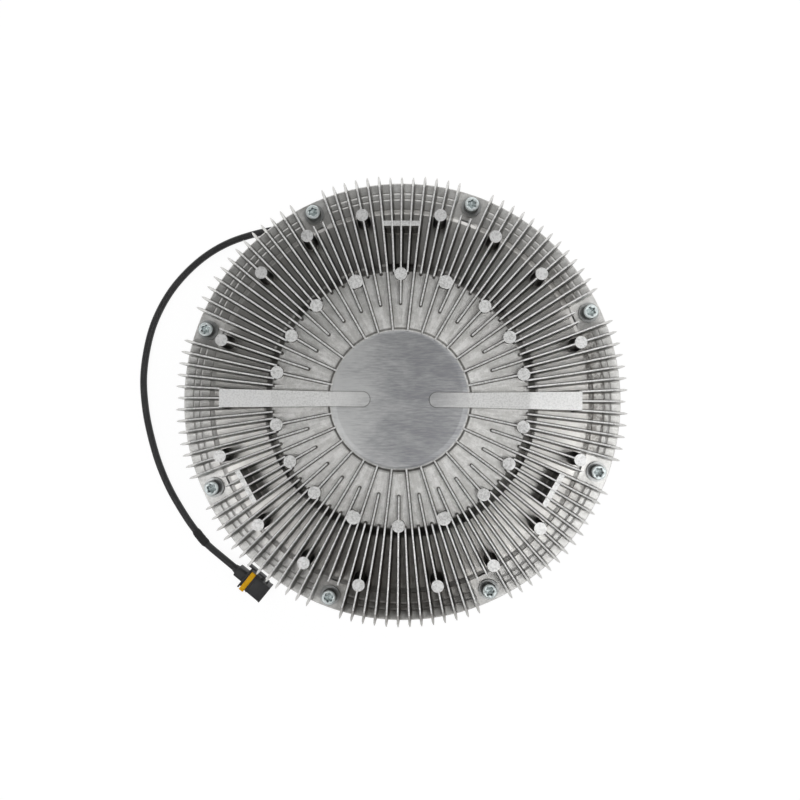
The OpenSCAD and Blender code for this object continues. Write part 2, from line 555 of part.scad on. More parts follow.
module coil_yoke() color([0.38, 0.38, 0.40]) difference() {
    ring([[yoke_ri, z_web1], [yoke_ro, z_web1], [yoke_ro, z_yoke1], [yoke_ro - 3, z_yoke1],
        [yoke_ro - 3, z_web1 + 5], [yoke_ri + 3, z_web1 + 5], [yoke_ri + 3, z_yoke1], [yoke_ri, z_yoke1]]);
    around(4, (yoke_ri + yoke_ro) / 2, 45) translate([0, 0, z_web1 - 1])
        cylinder(r = carrier_screw_r + fit, h = 7);
}
module coil_bobbin() color([0.16, 0.16, 0.17]) ring([
    [yoke_ri + 3 + fit, z_web1 + 5], [yoke_ro - 3 - fit, z_web1 + 5],
    [yoke_ro - 3 - fit, z_web1 + 6.5], [yoke_ri + 5, z_web1 + 6.5], [yoke_ri + 5, z_yoke1 - 3.5],
    [yoke_ro - 3 - fit, z_yoke1 - 3.5], [yoke_ro - 3 - fit, z_yoke1 - 2], [yoke_ri + 3 + fit, z_yoke1 - 2]]);
module coil_winding() color([0.72, 0.38, 0.18]) translate([0, 0, z_web1 + 6.5])
    tube(yoke_ri + 5 + fit, yoke_ro - 3.6, z_yoke1 - z_web1 - 10);
module coil_potting() color([0.12, 0.12, 0.13]) translate([0, 0, z_yoke1 - 2])
    tube(yoke_ri + 3 + fit, yoke_ro - 3 - fit, 1.8);
module carrier_screws() color([0.60, 0.62, 0.64]) around(4, (yoke_ri + yoke_ro) / 2, 45) difference() {
    union() {
        translate([0, 0, z_web0 - carrier_head_h]) cylinder(r = carrier_screw_r + 2.05, h = carrier_head_h);
        translate([0, 0, z_web0]) cylinder(r = carrier_screw_r, h = web_t + 4.5);
    }
    translate([0, 0, z_web0 - carrier_head_h - 1])
        cylinder(r = carrier_screw_r - 0.55, h = carrier_head_h, $fn = 6);
}
module carrier_circlip() color([0.25, 0.25, 0.26]) translate([0, 0, z_seat - 1.45])
    tube(coil_brg_ro - 2.5, coil_brg_ro + 1.5, 1.45);
module speed_sensor() color([0.10, 0.10, 0.11]) rotate([0, 0, 60]) translate([coil_brg_ro + 7.45, -4, z_web0])
    cube([4.8, 8, web_t + 1.2]);
module cable_gland() color([0.08, 0.08, 0.08]) translate([0, cable_out_y, cable_out_z]) rotate([90, 0, 0]) {
    cylinder(r1 = cable_r + 0.6, r2 = cable_r + 2, h = 7);
    translate([0, 0, 7]) cylinder(r = 5.5, h = 4);
    translate([0, 0, 11]) cylinder(r = 3.95, h = 8.5);
}

// Cable: a round sweep along hand-laid points on the bench
cz = 3;
gland_at = [0, cable_out_y, cable_out_z];
bench = [gland_at + [-4, 15, -4], gland_at + [-16, 29, -13], [-40, 137, 5], [-70, 142, cz],
    [-97, 140.5, cz], [-122, 135.5, cz],
    [-144, 127.8, cz], [-163, 116.3, cz], [-180, 100.5, cz], [-193, 83, cz], [-203, 62, cz], [-208.5, 40, cz],
    [-210.7, 17, cz], [-208.8, -6, cz], [-204.5, -27, cz], [-197.5, -50, cz], [-188, -71.5, cz],
    [-176.3, -91, cz], [-166.3, -104.6, 3.5], [-156.8, -115.6, 3.5]];
plug_a = -38.5;
plug_at = [-133, -133.2, 7.6];
plug_dir = [cos(plug_a), sin(plug_a), 0];
gland_dir = [0, 1, 0];
route = concat([gland_at, gland_at + 5 * gland_dir], bench, [plug_at - 9 * plug_dir, plug_at]);
function knot(i) = route[max(0, min(len(route) - 1, i))];
function spline(i, t) = let(a = knot(i - 1), b = knot(i), c = knot(i + 1), d = knot(i + 2))
    0.5 * (2 * b + (c - a) * t + (2 * a - 5 * b + 4 * c - d) * t * t + (3 * b - a - 3 * c + d) * t * t * t);
function unit(v) = v / norm(v);
function way(pts, first, last) = [for (i = [0 : len(pts) - 1]) i == 0 ? first
    : i == len(pts) - 1 ? last : unit(pts[i + 1] - pts[i - 1])];
function ring_at(p, d, r, n) = let(u = unit(cross([0, 0, 1], d)), v = cross(d, u))
    [for (j = [0 : n - 1]) p + r * (cos(360 * j / n) * u + sin(360 * j / n) * v)];
function band(i, n, s) = [for (j = [0 : n - 1]) each
    [[i * n + j, i * n + (j + 1) % n, (i + s) * n + (j + 1) % n],
     [i * n + j, (i + s) * n + (j + 1) % n, (i + s) * n + j]]];
function run(i0, i1, m) = [for (i = [i0 : i1], s = [0 : m - 1]) if (i < i1 || s == 0) spline(i, s / m)];
cable_pts = run(0, len(route) - 1, 2);
cable_dirs = way(cable_pts, gland_dir, plug_dir);
sleeve_from = 2 * (len(route) - 4);       // ring of the cable where the shrink sleeve starts
module cable() color([0.05, 0.05, 0.05]) {
    n = cable_sides;
    m = len(cable_pts);
    polyhedron([for (i = [0 : m - 1]) each ring_at(cable_pts[i], cable_dirs[i], cable_r, n)],
        concat([[for (j = [n - 1 : -1 : 0]) j]], [[for (j = [0 : n - 1]) (m - 1) * n + j]],
            [for (i = [0 : m - 2]) each band(i, n, 1)]));
}
// A closed tube: three rings out along its outside, three back along the cable
module cable_sleeve() color([0.07, 0.07, 0.07]) {
    n = cable_sides;
    out = [for (i = [0 : 2]) sleeve_from + i];
    back = [for (i = [2 : -1 : 0]) sleeve_from + i];
    polyhedron(concat(
        [for (q = out) each ring_at(cable_pts[q], cable_dirs[q], sleeve_r, n)],
        [for (q = back) each ring_at(cable_pts[q], cable_dirs[q], cable_r + 0.02, n)]),
        concat([for (i = [0 : 4]) each band(i, n, 1)], band(5, n, -5)));
}

// Connector, laid on its side on the bench: local +X runs to its mating face
plug_w = 14.4;
plug_h = 14;
rear_w = 8;                               // narrow part that the cable enters
module plug_frame() translate(plug_at) rotate([0, 0, plug_a]) children();
module connector_body() color([0.06, 0.06, 0.065]) plug_frame() difference() {
    union() {
        rotate([0, 90, 0]) cylinder(r1 = cable_r + 0.6, r2 = cable_r + 1.4, h = 5);
        translate([3, -rear_w / 2, -5.8]) cube([9, rear_w + 0.6, 11.6]);
        translate([11, -plug_w / 2 - 1, -plug_h / 2 - 0.4]) cube([1.4, plug_w + 2, plug_h + 0.8]);
        translate([12, -plug_w / 2, -plug_h / 2]) cube([20.5, plug_w, plug_h]);
        translate([6.5, plug_w / 2 + 1.6, -3.2]) cube([18, 1.5, 6.4]);
        translate([22, plug_w / 2 - 1, -3.2]) cube([2.5, 3.5, 6.4]);
        translate([6.5, plug_w / 2 + 1.6, -3.2]) cube([1.6, 4, 6.4]);
        translate([27, plug_w / 2 - 1, -2.2]) cube([1.6, 3, 4.4]);
    }
    translate([13.2, -plug_w / 2 - 3, plug_h / 2 - 3]) cube([4.1, plug_w + 6, 5]);
    for (y = [-3.6, 0, 3.6], z = [-2, 2]) translate([24, y - 1.1, z - 1.1]) cube([10, 2.2, 2.2]);
    translate([31.3, 0, 0]) difference() {
        translate([0, -plug_w / 2 + 1.1, -plug_h / 2 + 1.1]) cube([2, plug_w - 2.2, plug_h - 2.2]);
        translate([-1, -plug_w / 2 + 2.3, -plug_h / 2 + 2.3]) cube([4, plug_w - 4.6, plug_h - 4.6]);
    }
}
module connector_lock() color([0.85, 0.55, 0.06]) plug_frame()
    translate([13.25, -plug_w / 2 - 1.6, plug_h / 2 - 2.95]) cube([4, plug_w + 2.2, 3.3]);
module connector_seal() color([0.70, 0.25, 0.16]) plug_frame() translate([31.3, 0, 0]) difference() {
    translate([0, -plug_w / 2 + 1.15, -plug_h / 2 + 1.15]) cube([1, plug_w - 2.3, plug_h - 2.3]);
    translate([-1, -plug_w / 2 + 2.25, -plug_h / 2 + 2.25]) cube([4, plug_w - 4.5, plug_h - 4.5]);
}
module connector_terminals() color([0.80, 0.66, 0.30]) plug_frame()
    for (y = [-3.6, 0, 3.6], z = [-2, 2]) translate([24, y - 1, z - 1]) difference() {
        cube([7, 2, 2]);
        translate([2, 0.5, 0.5]) cube([6, 1, 1]);
    }

drive_shaft();
rotor_disc();
rotor_lock_washer();
rotor_nut();
main_bearing_inner_ring();
coil_bearing_inner_ring();
coil_shaft_circlip();
front_cover();
rear_housing();
cover_screws();
cover_washers();
cover_seal();
reservoir_plate();
plate_screws();
valve_pivot();
valve_rivet();
pump_wipers();
main_bearing_outer_ring();
main_bearing_shields();
housing_circlip();
flux_ring();
target_ring();
main_balls();
main_cage();
coil_balls();
coil_cage();
coil_carrier();
coil_yoke();
coil_bobbin();
coil_winding();
coil_potting();
carrier_screws();
carrier_circlip();
coil_bearing_outer_ring();
speed_sensor();
cable_gland();
cable();
cable_sleeve();
connector_body();
connector_lock();
connector_seal();
connector_terminals();
valve_lever();
armature();
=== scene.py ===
"""Looks of a viscous fan clutch: finishes, cable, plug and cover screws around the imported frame.

Lengths are metres in the frame's own axes: +Z out of the finned cover, +X right and +Y up in the picture.
"""
import logging
import math
from dataclasses import dataclass
from enum import Enum
from functools import partial, reduce

import bmesh
import bpy
import numpy as np
from mathutils import Matrix, Vector


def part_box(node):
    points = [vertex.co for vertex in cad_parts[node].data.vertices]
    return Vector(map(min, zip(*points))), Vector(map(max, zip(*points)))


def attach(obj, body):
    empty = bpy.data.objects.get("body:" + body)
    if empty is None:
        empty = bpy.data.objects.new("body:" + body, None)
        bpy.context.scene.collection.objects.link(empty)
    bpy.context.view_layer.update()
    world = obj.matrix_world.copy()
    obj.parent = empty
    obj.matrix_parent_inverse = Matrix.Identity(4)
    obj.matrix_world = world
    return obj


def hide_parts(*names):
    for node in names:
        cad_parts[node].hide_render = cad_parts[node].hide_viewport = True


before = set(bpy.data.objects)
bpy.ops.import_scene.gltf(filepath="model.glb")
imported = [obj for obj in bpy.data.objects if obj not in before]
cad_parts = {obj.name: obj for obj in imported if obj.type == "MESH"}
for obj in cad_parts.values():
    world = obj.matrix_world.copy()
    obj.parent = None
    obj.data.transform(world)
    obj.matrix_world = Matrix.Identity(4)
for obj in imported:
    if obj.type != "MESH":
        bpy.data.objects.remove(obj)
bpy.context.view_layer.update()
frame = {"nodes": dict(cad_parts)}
MM = 0.001
LOG = logging.getLogger("fan_clutch")
NOISE_SPAN = (0.3, 0.7)
Colour = tuple[float, float, float]
Point = tuple[float, float, float]
Socket = bpy.types.NodeSocket
Value = Socket | float


class Coords(Enum):
    """Coordinates that a pattern follows: a piece's own, or the direction in the sky."""

    OBJECT = "Object"
    SKY = "Generated"


class Shader:
    """A node material under construction around one Principled surface."""

    def __init__(self, name: str) -> None:
        """Starts an empty material.

        Args:
            name: The material's name.
        """
        self.material = bpy.data.materials.new(name)
        self.material.use_nodes = True
        self.tree = self.material.node_tree
        self.tree.nodes.clear()
        self.output = self.node("ShaderNodeOutputMaterial")
        self.surface = self.node("ShaderNodeBsdfPrincipled")
        self.tree.links.new(self.surface.outputs[0], self.output.inputs["Surface"])

    def node(self, kind: str, **settings: object) -> bpy.types.Node:
        """Adds a node.

        Args:
            kind: The node's type name.
            settings: Properties to set on it.

        Returns:
            The new node.
        """
        made = self.tree.nodes.new(kind)
        for key, value in settings.items():
            setattr(made, key, value)
        return made

    def feed(self, target: Socket, value: Value) -> None:
        """Links a socket, or sets a plain number.

        Args:
            target: The input socket.
            value: What goes into it.
        """
        if isinstance(value, bpy.types.NodeSocket):
            self.tree.links.new(value, target)
        else:
            target.default_value = value

    def set(self, **values: object) -> None:
        """Sets or links inputs of the surface, with _ for the blank in a socket's name.

        Args:
            values: Socket name to value or socket.
        """
        for key, value in values.items():
            self.feed(self.surface.inputs[key.replace("_", " ")], value)

    def coords(self) -> Socket:
        """Returns the piece's own coordinates."""
        return self.node("ShaderNodeTexCoord").outputs[Coords.OBJECT.value]

    def math(self, op: str, a: Value, b: Value = 0.0, c: Value = 0.0, clamp: bool = False) -> Socket:
        """Adds a Math node.

        Args:
            op: The operation's name.
            a: First value.
            b: Second value.
            c: Third value.
            clamp: Whether the result stays from 0 to 1.

        Returns:
            The result.
        """
        made = self.node("ShaderNodeMath", operation=op, use_clamp=clamp)
        for target, value in zip(made.inputs, (a, b, c)):
            self.feed(target, value)
        return made.outputs[0]

    def times(self, *values: Value) -> Socket:
        """Returns the product of the values."""
        return reduce(partial(self.math, "MULTIPLY"), values)

    def most(self, *values: Value) -> Socket:
        """Returns the greatest of the values."""
        return reduce(partial(self.math, "MAXIMUM"), values)

    def blend(self, *parts: tuple[Value, float]) -> Socket:
        """Returns the sum of the values, each times its weight."""
        return reduce(partial(self.math, "ADD"), [self.times(value, weight) for value, weight in parts])

    def rest(self, share: Socket) -> Socket:
        """Returns what a share leaves of 1."""
        return self.math("SUBTRACT", 1.0, share)

    def hypot(self, a: Socket, b: Socket) -> Socket:
        """Returns the root of the sum of two squares."""
        return self.math("SQRT", self.math("ADD", self.math("POWER", a, 2.0), self.math("POWER", b, 2.0)))

    def axes(self, vector: Socket) -> tuple[Socket, Socket, Socket]:
        """Splits a vector.

        Args:
            vector: The vector.

        Returns:
            Its three parts.
        """
        made = self.node("ShaderNodeSeparateXYZ")
        self.feed(made.inputs[0], vector)
        return tuple(made.outputs)

    def vector(self, x: Value, y: Value, z: Value) -> Socket:
        """Joins three parts.

        Args:
            x: First part.
            y: Second part.
            z: Third part.

        Returns:
            Their vector.
        """
        made = self.node("ShaderNodeCombineXYZ")
        for target, value in zip(made.inputs, (x, y, z)):
            self.feed(target, value)
        return made.outputs[0]

    def noise(self, vector: Socket, size: float, detail: float = 3.0, rough: float = 0.55) -> Socket:
        """Adds noise with features of a given size.

        Args:
            vector: The coordinates.
            size: Length of a feature, in the coordinates' unit.
            detail: Number of finer layers.
            rough: Weight of the finer layers.

        Returns:
            A value around 0.5.
        """
        made = self.node("ShaderNodeTexNoise")
        self.feed(made.inputs["Vector"], vector)
        made.inputs["Scale"].default_value = 1.0 / size
        made.inputs["Detail"].default_value = detail
        made.inputs["Roughness"].default_value = rough
        return made.outputs[0]

    def span(self, value: Socket, low: Value, high: Value, to_low: Value = 0.0,
             to_high: Value = 1.0) -> Socket:
        """Maps a value smoothly from one span to another and holds it at the ends.

        Args:
            value: The value.
            low: Start of its span.
            high: End of its span.
            to_low: Result at the start.
            to_high: Result at the end.

        Returns:
            The mapped value.
        """
        made = self.node("ShaderNodeMapRange", interpolation_type="SMOOTHSTEP")
        for target, item in zip(made.inputs, (value, low, high, to_low, to_high)):
            self.feed(target, item)
        return made.outputs[0]

    def fall(self, value: Socket, low: Value, high: Value) -> Socket:
        """Returns 1 below a span and 0 above it, with a smooth step between."""
        return self.span(value, low, high, 1.0, 0.0)

    def mix(self, share: Value, a: Socket | Colour, b: Socket | Colour) -> Socket:
        """Mixes two colours.

        Args:
            share: Share of the second colour.
            a: First colour.
            b: Second colour.

        Returns:
            The mixed colour.
        """
        made = self.node("ShaderNodeMix", data_type="RGBA")
        self.feed(made.inputs[0], share)
        for target, value in ((made.inputs[6], a), (made.inputs[7], b)):
            self.feed(target, value if isinstance(value, bpy.types.NodeSocket) else (*value, 1.0))
        return made.outputs[2]

    def bump(self, height: Socket, depth: float, under: Socket | None = None) -> Socket:
        """Adds relief.

        Args:
            height: Relief from 0 to 1.
            depth: Its depth in metres.
            under: Normal that it adds to.

        Returns:
            The new normal.
        """
        made = self.node("ShaderNodeBump")
        made.inputs["Distance"].default_value = depth
        self.feed(made.inputs["Height"], height)
        if under is not None:
            self.feed(made.inputs["Normal"], under)
        return made.outputs[0]


@dataclass(frozen=True)
class Finish:
    """A surface finish with grain: mottled colour, uneven gloss and fine relief.

    The colour swings between shade and colour over patches and a little with the grain, the roughness by
    rough_swing, and the relief is noise of the grain's size.
    """

    name: str
    colour: Colour
    shade: Colour
    rough: float
    rough_swing: float = 0.08
    metal: float = 1.0
    patch: float = 6 * MM
    grain: float = 0.5 * MM
    relief: float = 0.03 * MM
    gloss: float = 0.5
    grain_share: float = 0.35
    shade_span: tuple[float, float] = (0.45, 0.9)

    def pattern(self, shader: Shader) -> Socket:
        """Returns the coordinates that the grain follows."""
        return shader.coords()

    def build(self) -> bpy.types.Material:
        """Makes the material.

        Returns:
            The finished material.
        """
        shader = Shader(self.name)
        place = shader.coords()
        mottle = shader.noise(place, self.patch, 4.0)
        grain = shader.noise(self.pattern(shader), self.grain, 2.0)
        share = shader.span(shader.blend((mottle, 1.0), (grain, self.grain_share)), *self.shade_span)
        low, high = self.rough - self.rough_swing, self.rough + self.rough_swing
        shader.set(Base_Color=shader.mix(share, self.shade, self.colour), Metallic=self.metal,
                   Roughness=shader.span(mottle, *NOISE_SPAN, low, high), Specular_IOR_Level=self.gloss,
                   Normal=shader.bump(grain, self.relief))
        return shader.material


@dataclass(frozen=True)
class TurnedFinish(Finish):
    """A finish left by a lathe: the grain runs in rings around the shaft's axis and in steps along it."""

    drift: float = 0.02

    def pattern(self, shader: Shader) -> Socket:
        """Returns coordinates that change with radius and height and hardly around the axis."""
        x, y, z = shader.axes(shader.coords())
        return shader.vector(shader.hypot(x, y), shader.times(x, self.drift), z)


@dataclass(frozen=True)
class WoundFinish(Finish):
    """Enamelled wire wound around the axis: a wave in height stands for the layers of wire."""

    wire: float = 0.7 * MM
    drift: float = 0.1

    def pattern(self, shader: Shader) -> Socket:
        """Works out the coordinates that the wire follows.

        Args:
            shader: The shader.

        Returns:
            A sine of the height, one wave to a wire, beside x and y that hardly change.
        """
        x, y, z = shader.axes(shader.coords())
        wave = shader.math("SINE", shader.times(z, math.tau / self.wire))
        return shader.vector(shader.times(wave, self.grain), shader.times(x, self.drift),
                             shader.times(y, self.drift))


@dataclass(frozen=True)
class Spot:
    """Where a shaded point lies: x, y, z, |x|, |y|, radius about the shaft and angle in fin pitches."""

    x: Socket
    y: Socket
    z: Socket
    side_x: Socket
    side_y: Socket
    radius: Socket
    turn: Socket


@dataclass(frozen=True)
class CoverFinish:
    """Raw die-cast aluminium of the finned cover, with its turned hub and its lighter fin and boss tops.

    Painted shade sits on the fins' sides and in the corners at their feet, so that each fin has a dark line
    on both sides and around its inner end, and the channels are painted darker with depth. A dark brown
    painted shade lies over the channels on the -Y side and in patches on the steps on +X, and the hub is
    painted lighter towards -X.
    Sizes in _r, and steps, are radii about the shaft; top, floor, rim_top and inner_floor are heights. Every
    pad_every fin pitches there is a screw's pad, pad_half to each side of pad_at.
    """

    name: str = "finned_casting"
    hub_r: float = 46.2 * MM
    medium_r: float = 63.5 * MM
    short_r: float = 84 * MM
    step_r: float = 128 * MM
    steps: tuple[float, float, float] = (130.8 * MM, 139 * MM, 144.1 * MM)
    step_foot: float = 1.0 * MM
    deep_shade_r: tuple[float, float] = (126 * MM, 140 * MM)
    top: float = 112 * MM
    floor: float = 91 * MM
    rim_top: float = 81.2 * MM
    inner_floor: float = 108.5 * MM
    fin_t: float = 1.1 * MM
    fin_pitch: float = math.radians(3)
    fin_draft: float = math.radians(1.7)
    end_r: float = 139.5 * MM
    end_slope: float = 16 / 13
    pad_every: float = 15.0
    pad_at: float = 8.5
    pad_half: float = 1.5
    stop_half: float = 0.6
    bar_w: float = 9.6 * MM
    bar_end_half: float = 6.1 * MM
    bar_in: float = 19.5 * MM
    bar_out: float = 118 * MM
    foot_reach: tuple[float, float] = (0.55 * MM, 0.80 * MM)
    rough: float = 0.32
    rough_swing: float = 0.04
    land_rough: float = 0.16
    plain_rough: float = 0.24
    skin_relief: float = 0.09 * MM
    crown_relief: float = 0.20 * MM
    step_relief: float = 1.3 * MM
    cast: Colour = (0.82, 0.815, 0.80)
    cast_shade: Colour = (0.60, 0.595, 0.575)
    # Painted shade: the channels' floors and walls are painted darker with depth, inside deep_shade_r.
    deep_shade: Colour = (0.60, 0.585, 0.56)
    deep_shade_share: float = 0.7
    # Colour of the painted shade at the fins' feet and sides, on steep walls, in thin corners and in the
    # channels.
    painted_shade: Colour = (0.13, 0.125, 0.115)
    # Colour of a dark brown painted shade, on the -Y side and on the steps on +X.
    brown_shade: Colour = (0.12, 0.105, 0.09)
    land: Colour = (0.82, 0.82, 0.812)
    land_shade: Colour = (0.63, 0.63, 0.62)
    hub: Colour = (0.63, 0.635, 0.632)
    hub_shade: Colour = (0.31, 0.314, 0.33)

    def spot(self, s: Shader, place: Socket) -> Spot:
        """Works out where a point lies.

        Args:
            s: The shader.
            place: The point's coordinates.

        Returns:
            Its place, radius and angle.
        """
        x, y, z = s.axes(place)
        turn = s.math("DIVIDE", s.math("ARCTAN2", y, x), self.fin_pitch)
        return Spot(x, y, z, s.math("ABSOLUTE", x), s.math("ABSOLUTE", y), s.hypot(x, y), turn)

    def fin_gap(self, s: Shader, at: Spot) -> tuple[Socket, Socket]:
        """Works out how far a point is from the nearest fin.

        A fin's plan is a round-ended bar that starts on the hub, at medium_r or at short_r, by its number
        from 0 to 3, and it is thicker below by its draft.

        Args:
            s: The shader.
            at: Where the point lies.

        Returns:
            Distance from the fin's side, and distance from its middle plane.
        """
        number = s.math("ROUND", at.turn)
        off = s.times(s.math("SUBTRACT", at.turn, number), self.fin_pitch, at.radius)
        kind = s.math("PINGPONG", number, 2.0)
        begin = s.math("ADD", s.times(kind, (self.medium_r - self.hub_r) / 2), self.hub_r)
        short = s.math("COMPARE", kind, 1.0, 0.1)
        begin = s.math("ADD", begin, s.times(short, self.short_r - (self.medium_r + self.hub_r) / 2))
        before = s.math("MAXIMUM", s.math("SUBTRACT", begin, at.radius), 0.0)
        drop = s.math("SUBTRACT", self.top, at.z)
        half = s.math("ADD", s.times(drop, math.tan(self.fin_draft)), self.fin_t / 2)
        return s.math("SUBTRACT", s.hypot(before, off), half), off

    def off_pads(self, s: Shader, at: Spot) -> Socket:
        """Returns 0 on the sectors of the screws' pads and 1 elsewhere."""
        within = s.math("FLOORED_MODULO", at.turn, self.pad_every)
        return s.rest(s.math("COMPARE", within, self.pad_at, self.pad_half))

    def foot_shade(self, s: Shader, at: Spot) -> Socket:
        """Works out the painted shade of fins and walls.

        Args:
            s: The shader.
            at: Where the point lies.

        Returns:
            Its share: full at a fin's foot and on steep walls, fading up the fin and towards the rim, and
            none on the screws' pads, the return bars, the hub and the rim's outer side.
        """
        gap = s.math("MAXIMUM", self.fin_gap(s, at)[0], 0.0)
        reach = s.span(at.z, self.floor + 2 * MM, self.inner_floor - 3 * MM, *self.foot_reach)
        foot = s.span(s.math("SUBTRACT", 1.0, s.math("DIVIDE", gap, reach), clamp=True), 0.0, 0.7)
        end_top = self.top + MM + self.end_slope * self.end_r
        slope = s.math("MULTIPLY_ADD", at.radius, -self.end_slope, end_top)
        depth = s.math("SUBTRACT", s.math("MINIMUM", slope, self.top), at.z)
        below = s.span(depth, 0.3 * MM, 0.8 * MM)
        number = s.math("FLOORED_MODULO", s.math("ROUND", at.turn), self.pad_every)
        stopped = s.times(s.math("COMPARE", number, self.pad_at, self.stop_half),
                          s.span(at.radius, self.step_r - 0.4 * MM, self.step_r))
        off_bar = s.most(s.span(at.side_y, 9.0 * MM, 9.6 * MM),
                         s.span(at.radius, self.short_r - MM, self.short_r))
        foot = s.times(foot, below, off_bar, s.span(at.radius, self.hub_r + 0.8 * MM, self.hub_r + 1.6 * MM),
                       s.rest(stopped), s.span(at.z, self.rim_top - 0.4 * MM, self.rim_top - 0.1 * MM))

        wall = s.times(s.span(at.z, self.floor + 0.7 * MM, self.floor + 2.5 * MM),
                       s.span(at.radius, self.short_r + 0.6 * MM, self.short_r + 1.6 * MM),
                       s.fall(at.radius, self.step_r - 0.5 * MM, self.step_r))
        inner = s.times(s.span(at.z, self.inner_floor + 0.4 * MM, self.inner_floor + 0.8 * MM),
                        s.span(at.radius, self.hub_r + 3 * MM, self.hub_r + 3.5 * MM))
        shallow = s.fall(at.radius, self.short_r, self.short_r + MM)
        fade = s.times(s.most(s.span(depth, 0.5 * MM, 10 * MM, 0.3, 1.0), shallow),
                       s.span(at.radius, self.step_r - 6 * MM, self.steps[1], 1.0, 0.5))
        return s.times(s.most(foot, s.times(s.most(wall, inner), below)), fade)

    def line_shade(self, s: Shader, at: Spot) -> Socket:
        """Works out the painted shade in the thin corners around the return bars, the hub and the steps.

        Args:
            s: The shader.
            at: Where the point lies.

        Returns:
            Its share.
        """
        before = s.math("MAXIMUM", s.math("SUBTRACT", self.bar_in + self.bar_w / 2, at.side_x), 0.0)
        wide = s.span(at.radius, self.hub_r, self.bar_out, self.bar_w / 2, self.bar_end_half)
        aside = s.math("SUBTRACT", s.hypot(before, at.y), wide)
        bar = s.times(s.span(aside, 0.2 * MM, 0.85 * MM, 0.65, 0.0),
                      s.fall(at.z, self.top + 0.1 * MM, self.top + 0.3 * MM),
                      s.fall(at.side_x, self.bar_out, self.bar_out + 0.8 * MM))
        hub = s.times(s.fall(at.radius, self.hub_r + 1.0 * MM, self.hub_r + 1.9 * MM),
                      s.span(at.radius, self.hub_r - 0.4 * MM, self.hub_r + 0.3 * MM, 0.0, 0.75),
                      s.fall(at.z, self.top - 1.5 * MM, self.top - 0.8 * MM))
        low = s.times(s.fall(at.z, self.floor - MM, self.floor + MM), self.off_pads(s, at))
        share = s.most(bar, hub)
        for r in self.steps:
            apart = s.math("ABSOLUTE", s.math("SUBTRACT", at.radius, r + self.step_foot))
            share = s.most(share, s.times(s.span(apart, 0.2 * MM, 0.6 * MM, 0.6, 0.0), low))
        return share

    def channel_shade(self, s: Shader, at: Spot, low: Socket) -> Socket:
        """Works out the painted shade of the channels.

        Args:
            s: The shader.
            at: Where the point lies.
            low: 1 on the channels' floor and the steps.

        Returns:
            Its share: at the channels' inner ends on both Y sides, and on the slope of the first step on +Y.
        """
        inner = s.times(s.span(at.radius, self.short_r + 3 * MM, self.short_r + 24 * MM, 0.6, 0.0),
                        s.fall(at.z, self.floor + 4 * MM, self.floor + 14 * MM),
                        s.span(at.radius, self.short_r, self.short_r + MM),
                        s.span(at.side_y, 48 * MM, 74 * MM))
        first = self.steps[0]
        ledge = s.times(s.span(at.radius, first - 3 * MM, first - 2 * MM),
                        s.fall(at.radius, first + 0.4 * MM, first + MM), low,
                        s.span(at.y, 30 * MM, 90 * MM, 0.0, 0.5))
        return s.most(inner, ledge)

    def build(self) -> bpy.types.Material:
        """Makes the material from masks of radius, height and distance from the nearest fin.

        Returns:
            The finished material.
        """
        s = Shader(self.name)
        place = s.coords()
        at = self.spot(s, place)
        inside = s.fall(at.radius, self.hub_r - 1.8 * MM, self.hub_r - 0.2 * MM)
        bar_blend = s.span(at.side_x, self.bar_in, self.hub_r + 2 * MM, 0.75, 0.2)
        on_hub = s.times(inside, s.span(at.z, self.top + 0.2 * MM, self.top + 0.5 * MM, 1.0, bar_blend))
        off_hub = s.rest(on_hub)
        on_land = s.times(s.span(at.z, self.top - 0.5 * MM, self.top - 0.1 * MM), off_hub)
        on_fin = s.times(s.math("COMPARE", at.z, self.top, 0.05 * MM), s.rest(inside))
        low = s.times(s.fall(at.z, self.floor, self.floor + MM), self.off_pads(s, at))
        deep_shade = s.times(s.fall(at.z, self.floor - 2 * MM, self.top - 8 * MM), s.fall(at.radius, *self.deep_shade_r))

        mottle = s.noise(place, 7 * MM, 4.0)
        grain = s.noise(place, 0.9 * MM, 4.0, 0.7)
        streaks = s.noise(s.vector(s.times(at.x, 0.14), at.y, 0.0), 1.1 * MM, 5.0, 0.65)
        clouds = s.noise(s.vector(s.times(at.x, 0.45), at.y, 0.0), 13 * MM, 3.0)
        stain = s.noise(place, 2.6 * MM, 5.0, 0.62)
        specks = s.noise(place, 1.2 * MM, 3.0, 0.6)
        arc = s.times(at.turn, self.fin_pitch * self.medium_r)
        wiped = s.noise(s.vector(arc, s.times(at.radius, 0.16), 0.0), 3.2 * MM, 4.0, 0.55)
        wiped = s.times(s.span(wiped, *NOISE_SPAN, -0.12, 0.12),
                        s.span(at.radius, self.short_r, self.short_r + 2 * MM, 1.0, 0.25))
        wear = s.blend((mottle, 0.45), (stain, 0.55))

